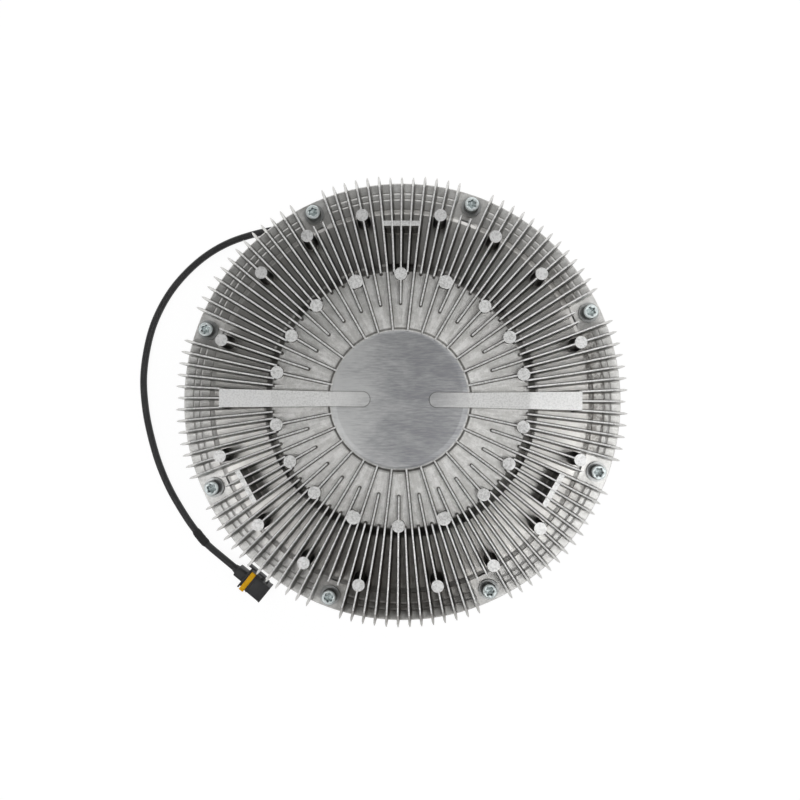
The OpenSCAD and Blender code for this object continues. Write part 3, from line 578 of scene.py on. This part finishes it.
        share = s.span(s.blend((wear, 1.0), (wiped, 1.0), (grain, 0.4)), 0.52, 0.90)
        colour = s.mix(share, self.cast_shade, self.cast)
        # Painted shade: the channels are painted darker with depth.
        colour = s.mix(s.times(deep_shade, self.deep_shade_share), colour, self.deep_shade)
        bar_least = s.span(at.side_y, 6.3 * MM, 6.8 * MM, 0.45, 0.0)
        land = s.mix(s.span(specks, 0.36, 0.58, bar_least, 1.0), self.land_shade, self.land)
        colour = s.mix(on_land, colour, land)
        # The hub's turning streaks and cloudy patina, plus a painted reflection: lighter towards -X and
        # darker towards +X.
        brushed_and_lit = s.blend((streaks, 0.55), (clouds, 0.45),
                          (s.span(at.x, -self.hub_r, 0.3 * self.hub_r, 0.19, -0.10), 1.0))
        colour = s.mix(on_hub, colour, s.mix(s.span(brushed_and_lit, 0.27, 0.73), self.hub_shade, self.hub))
        # Painted shade: dark lines at the fins' feet and sides, on steep walls, around the bars, hub and
        # steps, and in the channels.
        painted_shade = s.times(s.most(self.foot_shade(s, at), self.line_shade(s, at)),
                       s.span(mottle, 0.25, 0.7, 1.0, 0.8))
        colour = s.mix(s.most(painted_shade, self.channel_shade(s, at, low)), colour, self.painted_shade)
        # Dark brown painted shade over the channels and rim on the -Y side.
        brown_shade = s.times(s.fall(at.y, -110 * MM, -82 * MM), s.fall(at.side_x, 25 * MM, 75 * MM),
                      s.rest(on_land), s.span(wear, 0.3, 0.6, 0.78, 0.52),
                      s.span(at.radius, self.steps[2], self.steps[2] + 5 * MM, 1.0, 0.55))
        colour = s.mix(brown_shade, colour, self.brown_shade)
        # Painted shade in patches on the steps on +X.
        step_patch_shade = s.times(s.span(at.radius, self.step_r - 6 * MM, self.step_r + 2 * MM),
                          s.fall(at.radius, self.steps[1], self.steps[2]), low,
                          s.span(stain, 0.42, 0.6, 0.15, 0.7), s.span(at.x, 70 * MM, 125 * MM, 0.12, 1.0),
                          s.span(at.y, -90 * MM, -40 * MM, 0.35, 1.0))
        colour = s.mix(step_patch_shade, colour, self.brown_shade)

        swing = s.times(s.span(mottle, *NOISE_SPAN, -self.rough_swing, self.rough_swing), off_hub)
        plain = s.most(s.fall(at.radius, self.short_r, self.short_r + 2 * MM),
                       s.span(at.radius, self.step_r, self.steps[2] + MM, 0.0, 0.5))
        hub_edge = s.span(at.radius, self.hub_r - 4 * MM, self.hub_r - 0.5 * MM, 0.5, 1.0)
        plain = s.times(plain, s.most(off_hub, hub_edge))
        rough = s.blend((swing, 1.0), (on_land, self.land_rough), (plain, self.plain_rough))

        skin = s.blend((s.times(grain, off_hub), 0.9), (s.times(streaks, on_hub), 0.4))
        across = s.math("DIVIDE", self.fin_gap(s, at)[1], self.fin_t / 2)
        crown = s.times(s.rest(s.math("POWER", across, 2.0)), on_fin)
        rise = [s.span(at.radius, r - 1.2 * MM, r + 0.4 * MM) for r in self.steps]
        risers = s.times(s.blend(*zip(rise, (1.0, 0.6, 0.6))), low)
        normal = s.bump(skin, self.skin_relief)
        normal = s.bump(crown, self.crown_relief, normal)
        normal = s.bump(risers, self.step_relief, normal)
        s.set(Base_Color=colour, Metallic=1.0, Roughness=s.math("ADD", rough, self.rough), Normal=normal)
        return s.material


@dataclass(frozen=True)
class ScrewFinish:
    """Zinc plating of the cover screws, bright on the head's top, with painted shade on its side and in the
    socket.
    """

    circle: float
    first: float
    count: int
    head_top: float
    socket_r: float
    name: str = "plated_screw"
    bright: Colour = (0.86, 0.95, 0.95)
    glint: Colour = (0.93, 0.98, 0.98)
    side_shade: Colour = (0.20, 0.215, 0.215)
    socket: Colour = (0.42, 0.49, 0.50)
    metal: float = 0.55
    rough: tuple[float, float] = (0.36, 0.46)
    grain: float = 0.5 * MM
    relief: float = 0.015 * MM

    def build(self) -> bpy.types.Material:
        """Makes the material from the height and the distance from the nearest screw's axis.

        Returns:
            The finished material.
        """
        s = Shader(self.name)
        place = s.coords()
        x, y, z = s.axes(place)
        radius = s.hypot(x, y)
        step = math.tau / self.count
        turn = s.math("DIVIDE", s.math("SUBTRACT", s.math("ARCTAN2", y, x), self.first), step)
        angle = s.times(s.math("SUBTRACT", turn, s.math("ROUND", turn)), step)
        out = s.math("SUBTRACT", s.times(radius, s.math("COSINE", angle)), self.circle)
        apart = s.hypot(out, s.times(radius, s.math("SINE", angle)))

        grain = s.noise(place, self.grain, 3.0)
        on_top = s.span(z, self.head_top - 0.9 * MM, self.head_top - 0.4 * MM)
        sunk = s.times(s.fall(apart, self.socket_r - 0.1 * MM, self.socket_r + 0.3 * MM),
                       s.fall(z, self.head_top - 1.2 * MM, self.head_top - 0.2 * MM))
        # Painted shade: the head's side is dark and the socket darker than the top.
        colour = s.mix(on_top, self.side_shade, s.mix(s.span(grain, 0.35, 0.65), self.bright, self.glint))
        colour = s.mix(sunk, colour, s.mix(s.span(grain, 0.4, 0.6), self.socket, self.bright))
        s.set(Base_Color=colour, Metallic=self.metal, Roughness=s.span(grain, *NOISE_SPAN, *self.rough),
              Normal=s.bump(grain, self.relief))
        return s.material


class Palette:
    """All finishes of the clutch by the record's slot name, and what each CAD node is made of."""

    FINISHES: tuple[Finish, ...] = (
        Finish("cast_aluminium", (0.78, 0.775, 0.76), (0.60, 0.595, 0.58), 0.52, grain=0.6 * MM,
               relief=0.07 * MM),
        TurnedFinish("machined_aluminium", (0.82, 0.82, 0.82), (0.70, 0.70, 0.71), 0.32, grain=0.3 * MM),
        TurnedFinish("steel", (0.46, 0.455, 0.45), (0.33, 0.325, 0.32), 0.36, grain=0.3 * MM),
        TurnedFinish("bearing_steel", (0.70, 0.70, 0.71), (0.58, 0.58, 0.60), 0.16, grain=0.2 * MM,
                     relief=0.008 * MM),
        Finish("spring_steel", (0.22, 0.22, 0.23), (0.13, 0.13, 0.135), 0.34, grain=0.3 * MM),
        Finish("zinc_steel", (0.78, 0.81, 0.83), (0.60, 0.64, 0.65), 0.27, patch=2.5 * MM, grain=0.25 * MM,
               relief=0.015 * MM),
        Finish("washer_zinc", (0.56, 0.57, 0.565), (0.47, 0.48, 0.475), 0.42, patch=3 * MM, grain=0.4 * MM,
               relief=0.015 * MM),
        Finish("brass", (0.78, 0.60, 0.28), (0.60, 0.44, 0.18), 0.30, grain=0.3 * MM),
        WoundFinish("copper", (0.62, 0.27, 0.11), (0.42, 0.16, 0.06), 0.30, relief=0.20 * MM),
        Finish("contact_metal", (0.80, 0.72, 0.52), (0.66, 0.58, 0.40), 0.22, grain=0.2 * MM,
               relief=0.01 * MM),
        Finish("black_plastic", (0.030, 0.030, 0.032), (0.018, 0.018, 0.019), 0.48, metal=0.0,
               grain=0.25 * MM, relief=0.03 * MM),
        Finish("amber_plastic", (0.96, 0.53, 0.008), (0.86, 0.42, 0.006), 0.42, metal=0.0, patch=3 * MM,
               grain=0.3 * MM, relief=0.02 * MM, gloss=0.15),
        Finish("black_rubber", (0.022, 0.022, 0.022), (0.012, 0.012, 0.012), 0.66, metal=0.0, grain=0.4 * MM,
               relief=0.04 * MM),
        Finish("cable_jacket", (0.034, 0.034, 0.035), (0.020, 0.020, 0.021), 0.46, metal=0.0, patch=12 * MM,
               grain=0.35 * MM, relief=0.035 * MM),
        Finish("red_rubber", (0.46, 0.12, 0.07), (0.34, 0.08, 0.05), 0.58, metal=0.0, grain=0.4 * MM),
    )
    NODE_SLOTS: dict[str, str] = {
        "cast_aluminium": "rear_housing coil_carrier",
        "machined_aluminium": "rotor_disc reservoir_plate",
        "steel": "drive_shaft flux_ring target_ring coil_yoke armature valve_pivot rotor_nut",
        "bearing_steel": "main_bearing_inner_ring main_bearing_outer_ring coil_bearing_inner_ring "
                         "coil_bearing_outer_ring main_balls coil_balls",
        "spring_steel": "rotor_lock_washer coil_shaft_circlip housing_circlip carrier_circlip valve_lever "
                        "main_bearing_shields",
        "zinc_steel": "cover_screws cover_washers plate_screws carrier_screws",
        "brass": "main_cage coil_cage valve_rivet",
        "copper": "coil_winding",
        "contact_metal": "connector_terminals",
        "black_plastic": "connector_body coil_bobbin coil_potting speed_sensor pump_wipers",
        "amber_plastic": "connector_lock",
        "black_rubber": "cover_seal cable_gland cable_sleeve",
        "cable_jacket": "cable",
        "red_rubber": "connector_seal",
    }

    def __init__(self) -> None:
        """Builds every material once."""
        self.materials = {finish.name: finish.build() for finish in self.FINISHES}
        self.cover = CoverFinish().build()

    def dress(self, obj: bpy.types.Object, slot: str) -> None:
        """Gives a piece the finish of a slot.

        Args:
            obj: The piece.
            slot: The record's slot.
        """
        self.paint(obj, self.materials[slot])

    @staticmethod
    def paint(obj: bpy.types.Object, material: bpy.types.Material) -> None:
        """Makes a material the piece's only one."""
        obj.data.materials.clear()
        obj.data.materials.append(material)

    def dress_nodes(self, nodes: dict[str, bpy.types.Object]) -> None:
        """Gives each CAD node its finish.

        Args:
            nodes: CAD objects by name.
        """
        for slot, names in self.NODE_SLOTS.items():
            for name in names.split():
                self.paint(nodes[name], self.materials[slot])
        self.paint(nodes["front_cover"], self.cover)
        self.paint(nodes["cover_washers"], self.materials["washer_zinc"])
        LOG.info("dressed %d CAD nodes", len(nodes))


@dataclass
class Skin:
    """A closed skin: a grid of points that wraps around its columns and is capped at both ends.

    points[i, j] is step i along the skin and step j around it.
    """

    points: np.ndarray

    def arrays(self) -> tuple[np.ndarray, list[list[int]]]:
        """Works out the skin's mesh.

        Returns:
            Vertices, and faces: a quad between neighbouring grid points and a fan on each end.
        """
        rows, cols = self.points.shape[:2]
        index = np.arange(rows * cols).reshape(rows, cols)
        after = np.roll(index, -1, axis=1)
        quads = np.stack([index[:-1], after[:-1], after[1:], index[1:]], axis=-1).reshape(-1, 4)
        hubs = np.full((2, cols), [[rows * cols], [rows * cols + 1]])
        start = np.stack([hubs[0], after[0], index[0]], axis=-1)
        end = np.stack([hubs[1], index[-1], after[-1]], axis=-1)
        points = np.concatenate([self.points.reshape(-1, 3), self.points[[0, -1]].mean(axis=1)])
        return points, quads.tolist() + start.tolist() + end.tolist()

    def moved(self, matrix: Matrix) -> "Skin":
        """Returns the skin carried by a matrix."""
        turn = np.array(matrix)
        return Skin(self.points @ turn[:3, :3].T + turn[:3, 3])


def make_piece(name: str, skins: list[Skin], sharp_deg: float = 38.0) -> bpy.types.Object:
    """Makes one object of several closed skins, with faces outwards and smooth below an angle.

    Args:
        name: The piece's name.
        skins: Its skins.
        sharp_deg: Edges that turn more than this stay sharp.

    Returns:
        The object, at the origin.
    """
    points, faces, count = [], [], 0
    for skin in skins:
        skin_points, skin_faces = skin.arrays()
        faces += [[count + i for i in face] for face in skin_faces]
        points.append(skin_points)
        count += len(skin_points)
    mesh = bpy.data.meshes.new(name)
    mesh.from_pydata(np.concatenate(points).tolist(), [], faces)
    shape = bmesh.new()
    shape.from_mesh(mesh)
    bmesh.ops.recalc_face_normals(shape, faces=shape.faces)
    shape.to_mesh(mesh)
    shape.free()
    mesh.shade_smooth()
    mesh.set_sharp_from_angle(angle=math.radians(sharp_deg))
    obj = bpy.data.objects.new(name, mesh)
    bpy.context.scene.collection.objects.link(obj)
    LOG.info("%s: %d points", name, count)
    return obj


def around(count: int) -> np.ndarray:
    """Returns count angles of a full turn."""
    return np.arange(count) * math.tau / count


def rounded_box(x0: float, x1: float, half_y: float, half_z: float, corner: float, edge: float,
                centre: tuple[float, float] = (0.0, 0.0), steps: int = 5) -> Skin:
    """A bar along X with a rounded-rectangle section and rounded ends.

    The section's quarter q is an arc of radius corner about (+-(half_y - corner), +-(half_z - corner)). Near
    an end the section shrinks by edge * (1 - sin a) while x moves by edge * (1 - cos a), a from 0 to 90
    degrees.

    Args:
        x0: Start along X.
        x1: End along X.
        half_y: Half of the width.
        half_z: Half of the height.
        corner: Radius of the section's corners.
        edge: Radius of the end's edges.
        centre: Y and Z of the bar's middle line.
        steps: Points on each arc.

    Returns:
        The closed skin.
    """
    bend = np.linspace(0, math.pi / 2, steps)
    shrink = np.concatenate([edge * (1 - np.sin(bend)), edge * (1 - np.sin(bend[::-1]))])[:, None]
    along = np.concatenate([x0 + edge * (1 - np.cos(bend)), x1 - edge * (1 - np.cos(bend[::-1]))])
    angle = np.concatenate([bend + q * math.pi / 2 for q in range(4)])[None, :]
    quarter = np.repeat(np.arange(4), steps)[None, :]
    side_y = np.where((quarter == 0) | (quarter == 3), 1, -1)
    side_z = np.where(quarter < 2, 1, -1)
    y = centre[0] + side_y * (half_y - corner) + (corner - shrink) * np.cos(angle)
    z = centre[1] + side_z * (half_z - corner) + (corner - shrink) * np.sin(angle)
    return Skin(np.stack([np.broadcast_to(along[:, None], y.shape), y, z], axis=-1))


@dataclass
class Cable:
    """The magnet coil's cable from its gland to the plug, laid on the bench, and its shrink sleeve.

    The sleeve covers one stretch of the route, from knot sleeve_knot to the next, and is wrinkled along it.
    """

    radius: float = 2.7 * MM
    sleeve_radius: float = 3.4 * MM
    sleeve_knot: int = -4
    lip_rise: float = 6.0
    lip_least: float = 0.25
    wrinkle: float = 0.06 * MM
    wrinkles: int = 5
    gland_mm: Point = (0, 97, 25)
    gland_dir: Point = (0, 1, 0)
    gland_run_mm: float = 5.0
    plug_mm: Point = (-133, -133.2, 7.6)
    plug_deg: float = -38.5
    plug_run_mm: float = 9.0
    bench_mm: tuple[Point, ...] = (
        (-4, 112, 21), (-16, 126, 12), (-40, 137, 5), (-70, 142, 3), (-97, 140.5, 3), (-122, 135.5, 3),
        (-144, 127.8, 3), (-163, 116.3, 3), (-180, 100.5, 3), (-193, 83, 3), (-203, 62, 3), (-208.5, 40, 3),
        (-210.7, 17, 3), (-208.8, -6, 3), (-204.5, -27, 3), (-197.5, -50, 3), (-188, -71.5, 3),
        (-176.3, -91, 3), (-166.3, -104.6, 3.5), (-156.8, -115.6, 3.5))
    steps: int = 8
    sides: int = 28
    body: str = "coil"

    def plug_dir(self) -> np.ndarray:
        """Returns the direction in which the cable enters the plug."""
        turn = math.radians(self.plug_deg)
        return np.array([math.cos(turn), math.sin(turn), 0.0])

    def knots(self) -> np.ndarray:
        """Works out the route's points.

        Returns:
            The points in metres, with a short straight run at both ends.
        """
        gland, plug = np.array(self.gland_mm, float), np.array(self.plug_mm)
        first = [gland, gland + self.gland_run_mm * np.array(self.gland_dir)]
        last = [plug - self.plug_run_mm * self.plug_dir(), plug]
        return np.array([*first, *self.bench_mm, *last]) * MM

    def centreline(self) -> np.ndarray:
        """Works out the middle line.

        Returns:
            Points on the Catmull-Rom curve through the knots: on each stretch a cubic in t whose slope at a
            knot is half the step between the knots on either side.
        """
        knots = self.knots()
        ends = np.concatenate([knots[:1], knots, knots[-1:]])
        a, b, c, d = (ends[i:len(ends) - 3 + i, None, :] for i in range(4))
        t = (np.arange(self.steps) / self.steps)[None, :, None]
        square, cube = 2 * a - 5 * b + 4 * c - d, 3 * b - a - 3 * c + d
        curve = 0.5 * (2 * b + (c - a) * t + square * t**2 + cube * t**3)
        return np.concatenate([curve.reshape(-1, 3), knots[-1:]])

    def tube(self, line: np.ndarray, ways: np.ndarray, radius: np.ndarray) -> Skin:
        """Carries a circle along a line.

        Args:
            line: Points of the middle line.
            ways: Direction at each point.
            radius: Radius at each point.

        Returns:
            The skin: point + radius * (cos a * u + sin a * v), u level and v upright to the direction.
        """
        u = np.cross([0, 0, 1], ways)
        u /= np.linalg.norm(u, axis=1, keepdims=True)
        v = np.cross(ways, u)
        angle = around(self.sides)[None, :, None]
        ring = np.cos(angle) * u[:, None] + np.sin(angle) * v[:, None]
        return Skin(line[:, None] + radius[:, None, None] * ring)

    def build(self, palette: Palette, plug_pieces: list[bpy.types.Object]) -> None:
        """Args:
            palette: The finishes.
            plug_pieces: What hangs on the cable's end; not used.
        """
        line = self.centreline()
        ways = np.gradient(line, axis=0)
        ways[0], ways[-1] = self.gland_dir, self.plug_dir()
        ways /= np.linalg.norm(ways, axis=1, keepdims=True)
        cable = make_piece("coil_cable", [self.tube(line, ways, np.full(len(line), self.radius))])
        palette.dress(cable, "cable_jacket")
        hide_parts("cable")
        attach(cable, self.body)

        start = (len(self.knots()) + self.sleeve_knot) * self.steps
        part = slice(start, start + self.steps + 1)
        t = np.linspace(0, 1, self.steps + 1)
        lip = np.minimum(1, self.lip_rise * np.minimum(t, 1 - t) + self.lip_least)
        wrinkle = self.wrinkle * np.sin(self.wrinkles * math.tau * t)
        radius = self.radius + (self.sleeve_radius - self.radius) * lip + wrinkle
        sleeve = make_piece("shrink_sleeve", [self.tube(line[part], ways[part], radius)])
        palette.dress(sleeve, "black_rubber")
        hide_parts("cable_sleeve")
        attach(sleeve, self.body)


@dataclass
class Plug:
    """The cable's plug: flared rear, body, thin collar, front shell, latch and the amber lock band.

    Built in its own axes, +X to the mating face, +Y to the latch, then carried to the cable's end.
    """

    cable: Cable
    half_w: float = 7.2 * MM
    half_h: float = 7.0 * MM
    length: float = 32.5 * MM
    boot_length: float = 5.0 * MM
    boot_gap: float = 0.4 * MM
    boot_flare: float = 1.1 * MM
    lip: float = 0.6 * MM
    body: str = "coil"

    def place(self) -> Matrix:
        """Returns the matrix from the plug's axes to the frame."""
        at = [c * MM for c in self.cable.plug_mm]
        return Matrix.Translation(at) @ Matrix.Rotation(math.radians(self.cable.plug_deg), 4, "Z")

    def boot(self) -> Skin:
        """The flared rear around the cable.

        Returns:
            A skin of circles along X: cable + gap + flare * t * t * (3 - 2 * t), t from 0 to 1.
        """
        t = np.linspace(0, 1, 12)
        x = self.boot_length * t
        radius = self.cable.radius + self.boot_gap + self.boot_flare * t * t * (3 - 2 * t)
        angle = around(32)
        ring = np.stack([np.zeros_like(angle), np.cos(angle), np.sin(angle)], axis=-1)
        return Skin(x[:, None, None] * np.array([1.0, 0, 0]) + radius[:, None, None] * ring[None])

    def skins(self) -> list[Skin]:
        """Works out the black skins of the housing.

        Returns:
            The flared rear, the bars by what they are, and the four lips of the mating face.
        """
        w, h, lip = self.half_w, self.half_h, self.lip
        bars = {
            "body": rounded_box(2.6 * MM, 12.4 * MM, 4.3 * MM, 5.8 * MM, 2.0 * MM, 1.0 * MM, (0.3 * MM, 0)),
            "collar": rounded_box(11 * MM, 12.4 * MM, w + 1.0 * MM, h + 0.4 * MM, 0.8 * MM, 0.35 * MM),
            "shell": rounded_box(17.2 * MM, self.length - 1.2 * MM, w, h, 1.3 * MM, 0.5 * MM),
            "neck": rounded_box(12 * MM, 18.5 * MM, w - 0.5 * MM, h - 0.6 * MM, 1.2 * MM, 0.3 * MM),
            "bead": rounded_box(18.6 * MM, 19.6 * MM, w + 0.35 * MM, h + 0.3 * MM, 1.3 * MM, 0.3 * MM),
            "latch": rounded_box(6.5 * MM, 24.5 * MM, 0.75 * MM, 3.2 * MM, 0.5 * MM, 0.3 * MM,
                                 (w + 2.35 * MM, 0)),
            "latch root": rounded_box(22 * MM, 24.5 * MM, 1.75 * MM, 3.2 * MM, 0.6 * MM, 0.4 * MM,
                                      (w + 0.75 * MM, 0)),
            "latch grip": rounded_box(6.5 * MM, 8.1 * MM, 2.0 * MM, 3.2 * MM, 0.6 * MM, 0.4 * MM,
                                      (w + 3.6 * MM, 0)),
            "key": rounded_box(27 * MM, 28.6 * MM, 1.5 * MM, 2.2 * MM, 0.6 * MM, 0.4 * MM,
                               (w + 0.5 * MM, 0)),
        }
        lips = []
        for side in (-1, 1):
            for half, at in (((lip, h), (side * (w - lip), 0)), ((w, lip), (0, side * (h - lip)))):
                lips.append(rounded_box(31 * MM, self.length, *half, 0.55 * MM, 0.3 * MM, at))
        return [self.boot(), *bars.values(), *lips]

    def build(self, palette: Palette) -> list[bpy.types.Object]:
        """Makes the plug's pieces.

        Args:
            palette: The finishes.

        Returns:
            The pieces that hang on the cable, CAD nodes among them.
        """
        place = self.place()
        shell = make_piece("plug_housing", [skin.moved(place) for skin in self.skins()])
        palette.dress(shell, "black_plastic")
        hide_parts("connector_body")
        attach(shell, self.body)

        band = rounded_box(13.25 * MM, 17.25 * MM, self.half_w + 1.1 * MM, 1.65 * MM, 0.5 * MM, 0.35 * MM,
                           (-0.5 * MM, self.half_h - 1.3 * MM))
        lock = make_piece("plug_lock_band", [band.moved(place)])
        palette.dress(lock, "amber_plastic")
        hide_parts("connector_lock")
        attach(lock, self.body)
        nodes = frame["nodes"]
        return [shell, lock, nodes["connector_seal"], nodes["connector_terminals"]]


@dataclass
class CoverScrews:
    """The eight cap screws of the cover: knurled head, bevelled top, six-lobe socket and plain shank."""

    count: int = 8
    circle: float = 143.5 * MM
    first_deg: float = 25.5
    head_r: float = 5.0 * MM
    head_h: float = 6.0 * MM
    shank_r: float = 2.95 * MM
    socket_r: float = 2.75 * MM
    socket_h: float = 3.2 * MM
    chamfer: float = 0.5 * MM
    knurls: int = 44
    knurl_depth: float = 0.01
    lobes: int = 6
    lobe_depth: float = 0.15
    sharp_deg: float = 50.0
    body: str = "housing"

    def skin(self) -> Skin:
        """One screw on its own axis.

        A stop of the profile is a radius, a height, a share of knurl and a share of lobe. The radius at
        angle a is the stop's, times 1 + knurl * knurl_depth * cos(knurls * a), and times
        1 + lobe * lobe_depth * cos(lobes * a).

        Returns:
            The skin from the shank's end round to the socket's floor.
        """
        low, high = (corner.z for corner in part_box("cover_screws"))
        base = high - self.head_h
        r, c, q = self.head_r, self.chamfer, self.socket_r
        stops = np.array([
            (self.shank_r - c, low, 0, 0), (self.shank_r, low + c, 0, 0), (self.shank_r, base, 0, 0),
            (r - 0.15 * MM, base, 0, 0), (r, base + 0.15 * MM, 0.6, 0), (r, base + 0.4 * MM, 1, 0),
            (r, high - 1.3 * MM, 1, 0), (r, high - 0.9 * MM, 0.5, 0), (r - 0.1 * MM, high - 0.55 * MM, 0, 0),
            (r - 0.35 * MM, high - 0.15 * MM, 0, 0), (r - 0.8 * MM, high, 0, 0),
            (q + 0.55 * MM, high, 0, 0.6), (q + 0.2 * MM, high - 0.12 * MM, 0, 1),
            (q, high - 0.4 * MM, 0, 1), (q, high - self.socket_h, 0, 1),
            (q * 0.55, high - self.socket_h - 0.5 * MM, 0, 0.3),
            (q * 0.1, high - self.socket_h - 0.8 * MM, 0, 0)])
        radius, height, knurl, lobe = (stops[:, i, None] for i in range(4))
        angle = around(4 * self.knurls)[None, :]
        radius = radius * (1 + self.knurl_depth * knurl * np.cos(self.knurls * angle))
        radius = radius * (1 + self.lobe_depth * lobe * np.cos(self.lobes * angle))
        z = np.broadcast_to(height, radius.shape)
        return Skin(np.stack([radius * np.cos(angle), radius * np.sin(angle), z], axis=-1))

    def build(self, palette: Palette) -> None:
        """Makes the screws, each turned by a different seeded angle.

        Args:
            palette: The finishes.
        """
        turns = np.random.default_rng(7).uniform(0, math.tau, self.count)
        skin, skins = self.skin(), []
        for i, turn in enumerate(turns):
            out = math.radians(self.first_deg) + i * math.tau / self.count
            at = (self.circle * math.cos(out), self.circle * math.sin(out), 0)
            skins.append(skin.moved(Matrix.Translation(at) @ Matrix.Rotation(turn, 4, "Z")))
        screws = make_piece("cover_cap_screws", skins, self.sharp_deg)
        palette.dress(screws, "zinc_steel")
        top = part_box("cover_screws")[1].z
        plating = ScrewFinish(self.circle, math.radians(self.first_deg), self.count, top, self.socket_r)
        palette.paint(screws, plating.build())
        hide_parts("cover_screws")
        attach(screws, self.body)


@dataclass(frozen=True)
class Softbox:
    """A large soft lamp that faces the clutch."""

    azimuth_deg: float
    elevation_deg: float
    power: float
    width: float = 0.9
    height: float = 0.7
    distance: float = 1.3

    def build(self, name: str, target: Point) -> None:
        """Makes the lamp.

        Args:
            name: The lamp's name.
            target: The point that it faces.
        """
        data = bpy.data.lights.new(name, "AREA")
        data.shape = "RECTANGLE"
        data.size, data.size_y = self.width, self.height
        data.energy = self.power
        lamp = bpy.data.objects.new(name, data)
        a, e = math.radians(self.azimuth_deg), math.radians(self.elevation_deg)
        out = np.array([math.cos(a) * math.cos(e), math.sin(a) * math.cos(e), math.sin(e)])
        lamp.location = np.array(target) + self.distance * out
        lamp.rotation_mode = "QUATERNION"
        lamp.rotation_quaternion = Vector(-out).to_track_quat("-Z", "Y")
        lamp.visible_camera = False
        bpy.context.scene.collection.objects.link(lamp)


@dataclass
class Studio:
    """Pale floor, soft lamps, sky and the camera above the clutch."""

    eye: Point = (0.01166, -0.00957, 0.57889)
    turn: Point = (0.01994, 0.02433, 0.00881)
    focal_px: float = 716.45
    picture_px: float = 800
    sensor_mm: float = 36.0
    clip: tuple[float, float] = (0.01, 30)
    target: Point = (0.0, 0.0, 0.1)
    floor_half: float = 6.0
    floor_z: float = -0.2 * MM
    floor_colour: Colour = (0.88, 0.88, 0.88)
    floor_rough: float = 0.9
    floor_white: float = 0.85
    floor_glow: float = 1.09
    sky_span: tuple[float, float] = (0.05, 1.0)
    sky_strength: tuple[float, float] = (0.80, 0.14)
    sky_tilt: float = 0.7
    boxes: tuple[Softbox, ...] = (
        Softbox(208, 58, 2.7, 0.46), Softbox(334, 60, 4.7, 0.72), Softbox(62, 42, 3.4, 1.6, 0.8))

    def camera(self) -> None:
        """Sets the camera: turned about the axis turn by its length, straight down when that is zero."""
        data = bpy.data.cameras.new("camera")
        data.sensor_width = self.sensor_mm
        data.lens = self.focal_px / self.picture_px * self.sensor_mm
        data.clip_start, data.clip_end = self.clip
        cam = bpy.data.objects.new("camera", data)
        angle = float(np.linalg.norm(self.turn))
        cam.matrix_world = Matrix.Translation(self.eye) @ Matrix.Rotation(angle, 4, self.turn)
        bpy.context.scene.collection.objects.link(cam)
        bpy.context.scene.camera = cam

    def floor(self) -> None:
        """Lays a white floor that keeps a part of the clutch's shadow."""
        half = self.floor_half
        mesh = bpy.data.meshes.new("floor")
        corners = [(-half, -half, 0), (half, -half, 0), (half, half, 0), (-half, half, 0)]
        mesh.from_pydata(corners, [], [(0, 1, 2, 3)])
        floor = bpy.data.objects.new("floor", mesh)
        floor.location.z = self.floor_z
        bpy.context.scene.collection.objects.link(floor)
        s = Shader("floor")
        s.set(Base_Color=(*self.floor_colour, 1), Roughness=self.floor_rough)
        glow = s.node("ShaderNodeEmission")
        glow.inputs["Strength"].default_value = self.floor_glow
        rays = s.node("ShaderNodeLightPath").outputs
        seen = s.most(rays["Is Camera Ray"], rays["Is Glossy Ray"], rays["Is Transmission Ray"])
        blend = s.node("ShaderNodeMixShader")
        s.feed(blend.inputs[0], s.times(seen, self.floor_white))
        s.feed(blend.inputs[1], s.surface.outputs[0])
        s.feed(blend.inputs[2], glow.outputs[0])
        s.feed(s.output.inputs["Surface"], blend.outputs[0])
        mesh.materials.append(s.material)

    def sky(self) -> None:
        """Makes a sky that is pale at the horizon, dark overhead and lighter towards +Y."""
        world = bpy.data.worlds.new("studio")
        world.use_nodes = True
        bpy.context.scene.world = world
        tree = world.node_tree
        tree.nodes.clear()
        place = tree.nodes.new("ShaderNodeTexCoord")
        parts = tree.nodes.new("ShaderNodeSeparateXYZ")
        rise = tree.nodes.new("ShaderNodeMapRange")
        light = tree.nodes.new("ShaderNodeBackground")
        out = tree.nodes.new("ShaderNodeOutputWorld")
        for i, value in enumerate((*self.sky_span, *self.sky_strength), 1):
            rise.inputs[i].default_value = value
        tree.links.new(place.outputs[Coords.SKY.value], parts.inputs[0])
        tree.links.new(parts.outputs[2], rise.inputs[0])
        side = tree.nodes.new("ShaderNodeMath")
        side.operation = "MULTIPLY_ADD"
        side.inputs[1].default_value = self.sky_tilt
        side.inputs[2].default_value = 1.0
        both = tree.nodes.new("ShaderNodeMath")
        both.operation = "MULTIPLY"
        tree.links.new(parts.outputs[1], side.inputs[0])
        tree.links.new(rise.outputs[0], both.inputs[0])
        tree.links.new(side.outputs[0], both.inputs[1])
        tree.links.new(both.outputs[0], light.inputs["Strength"])
        tree.links.new(light.outputs[0], out.inputs[0])

    def build(self) -> None:
        """Sets camera, floor, sky, lamps and the plain view transform."""
        self.camera()
        self.floor()
        self.sky()
        for i, box in enumerate(self.boxes):
            box.build(f"softbox_{i}", self.target)
        bpy.context.scene.view_settings.view_transform = "Standard"
        LOG.info("studio with %d softboxes", len(self.boxes))


def main() -> None:
    """Builds the studio, the finishes and the pieces in order."""
    logging.basicConfig(level=logging.INFO, format="%(name)s: %(message)s")
    Studio().build()
    palette = Palette()
    palette.dress_nodes(frame["nodes"])
    cable = Cable()
    cable.build(palette, Plug(cable).build(palette))
    CoverScrews().build(palette)


if __name__ == "__main__":
    main()
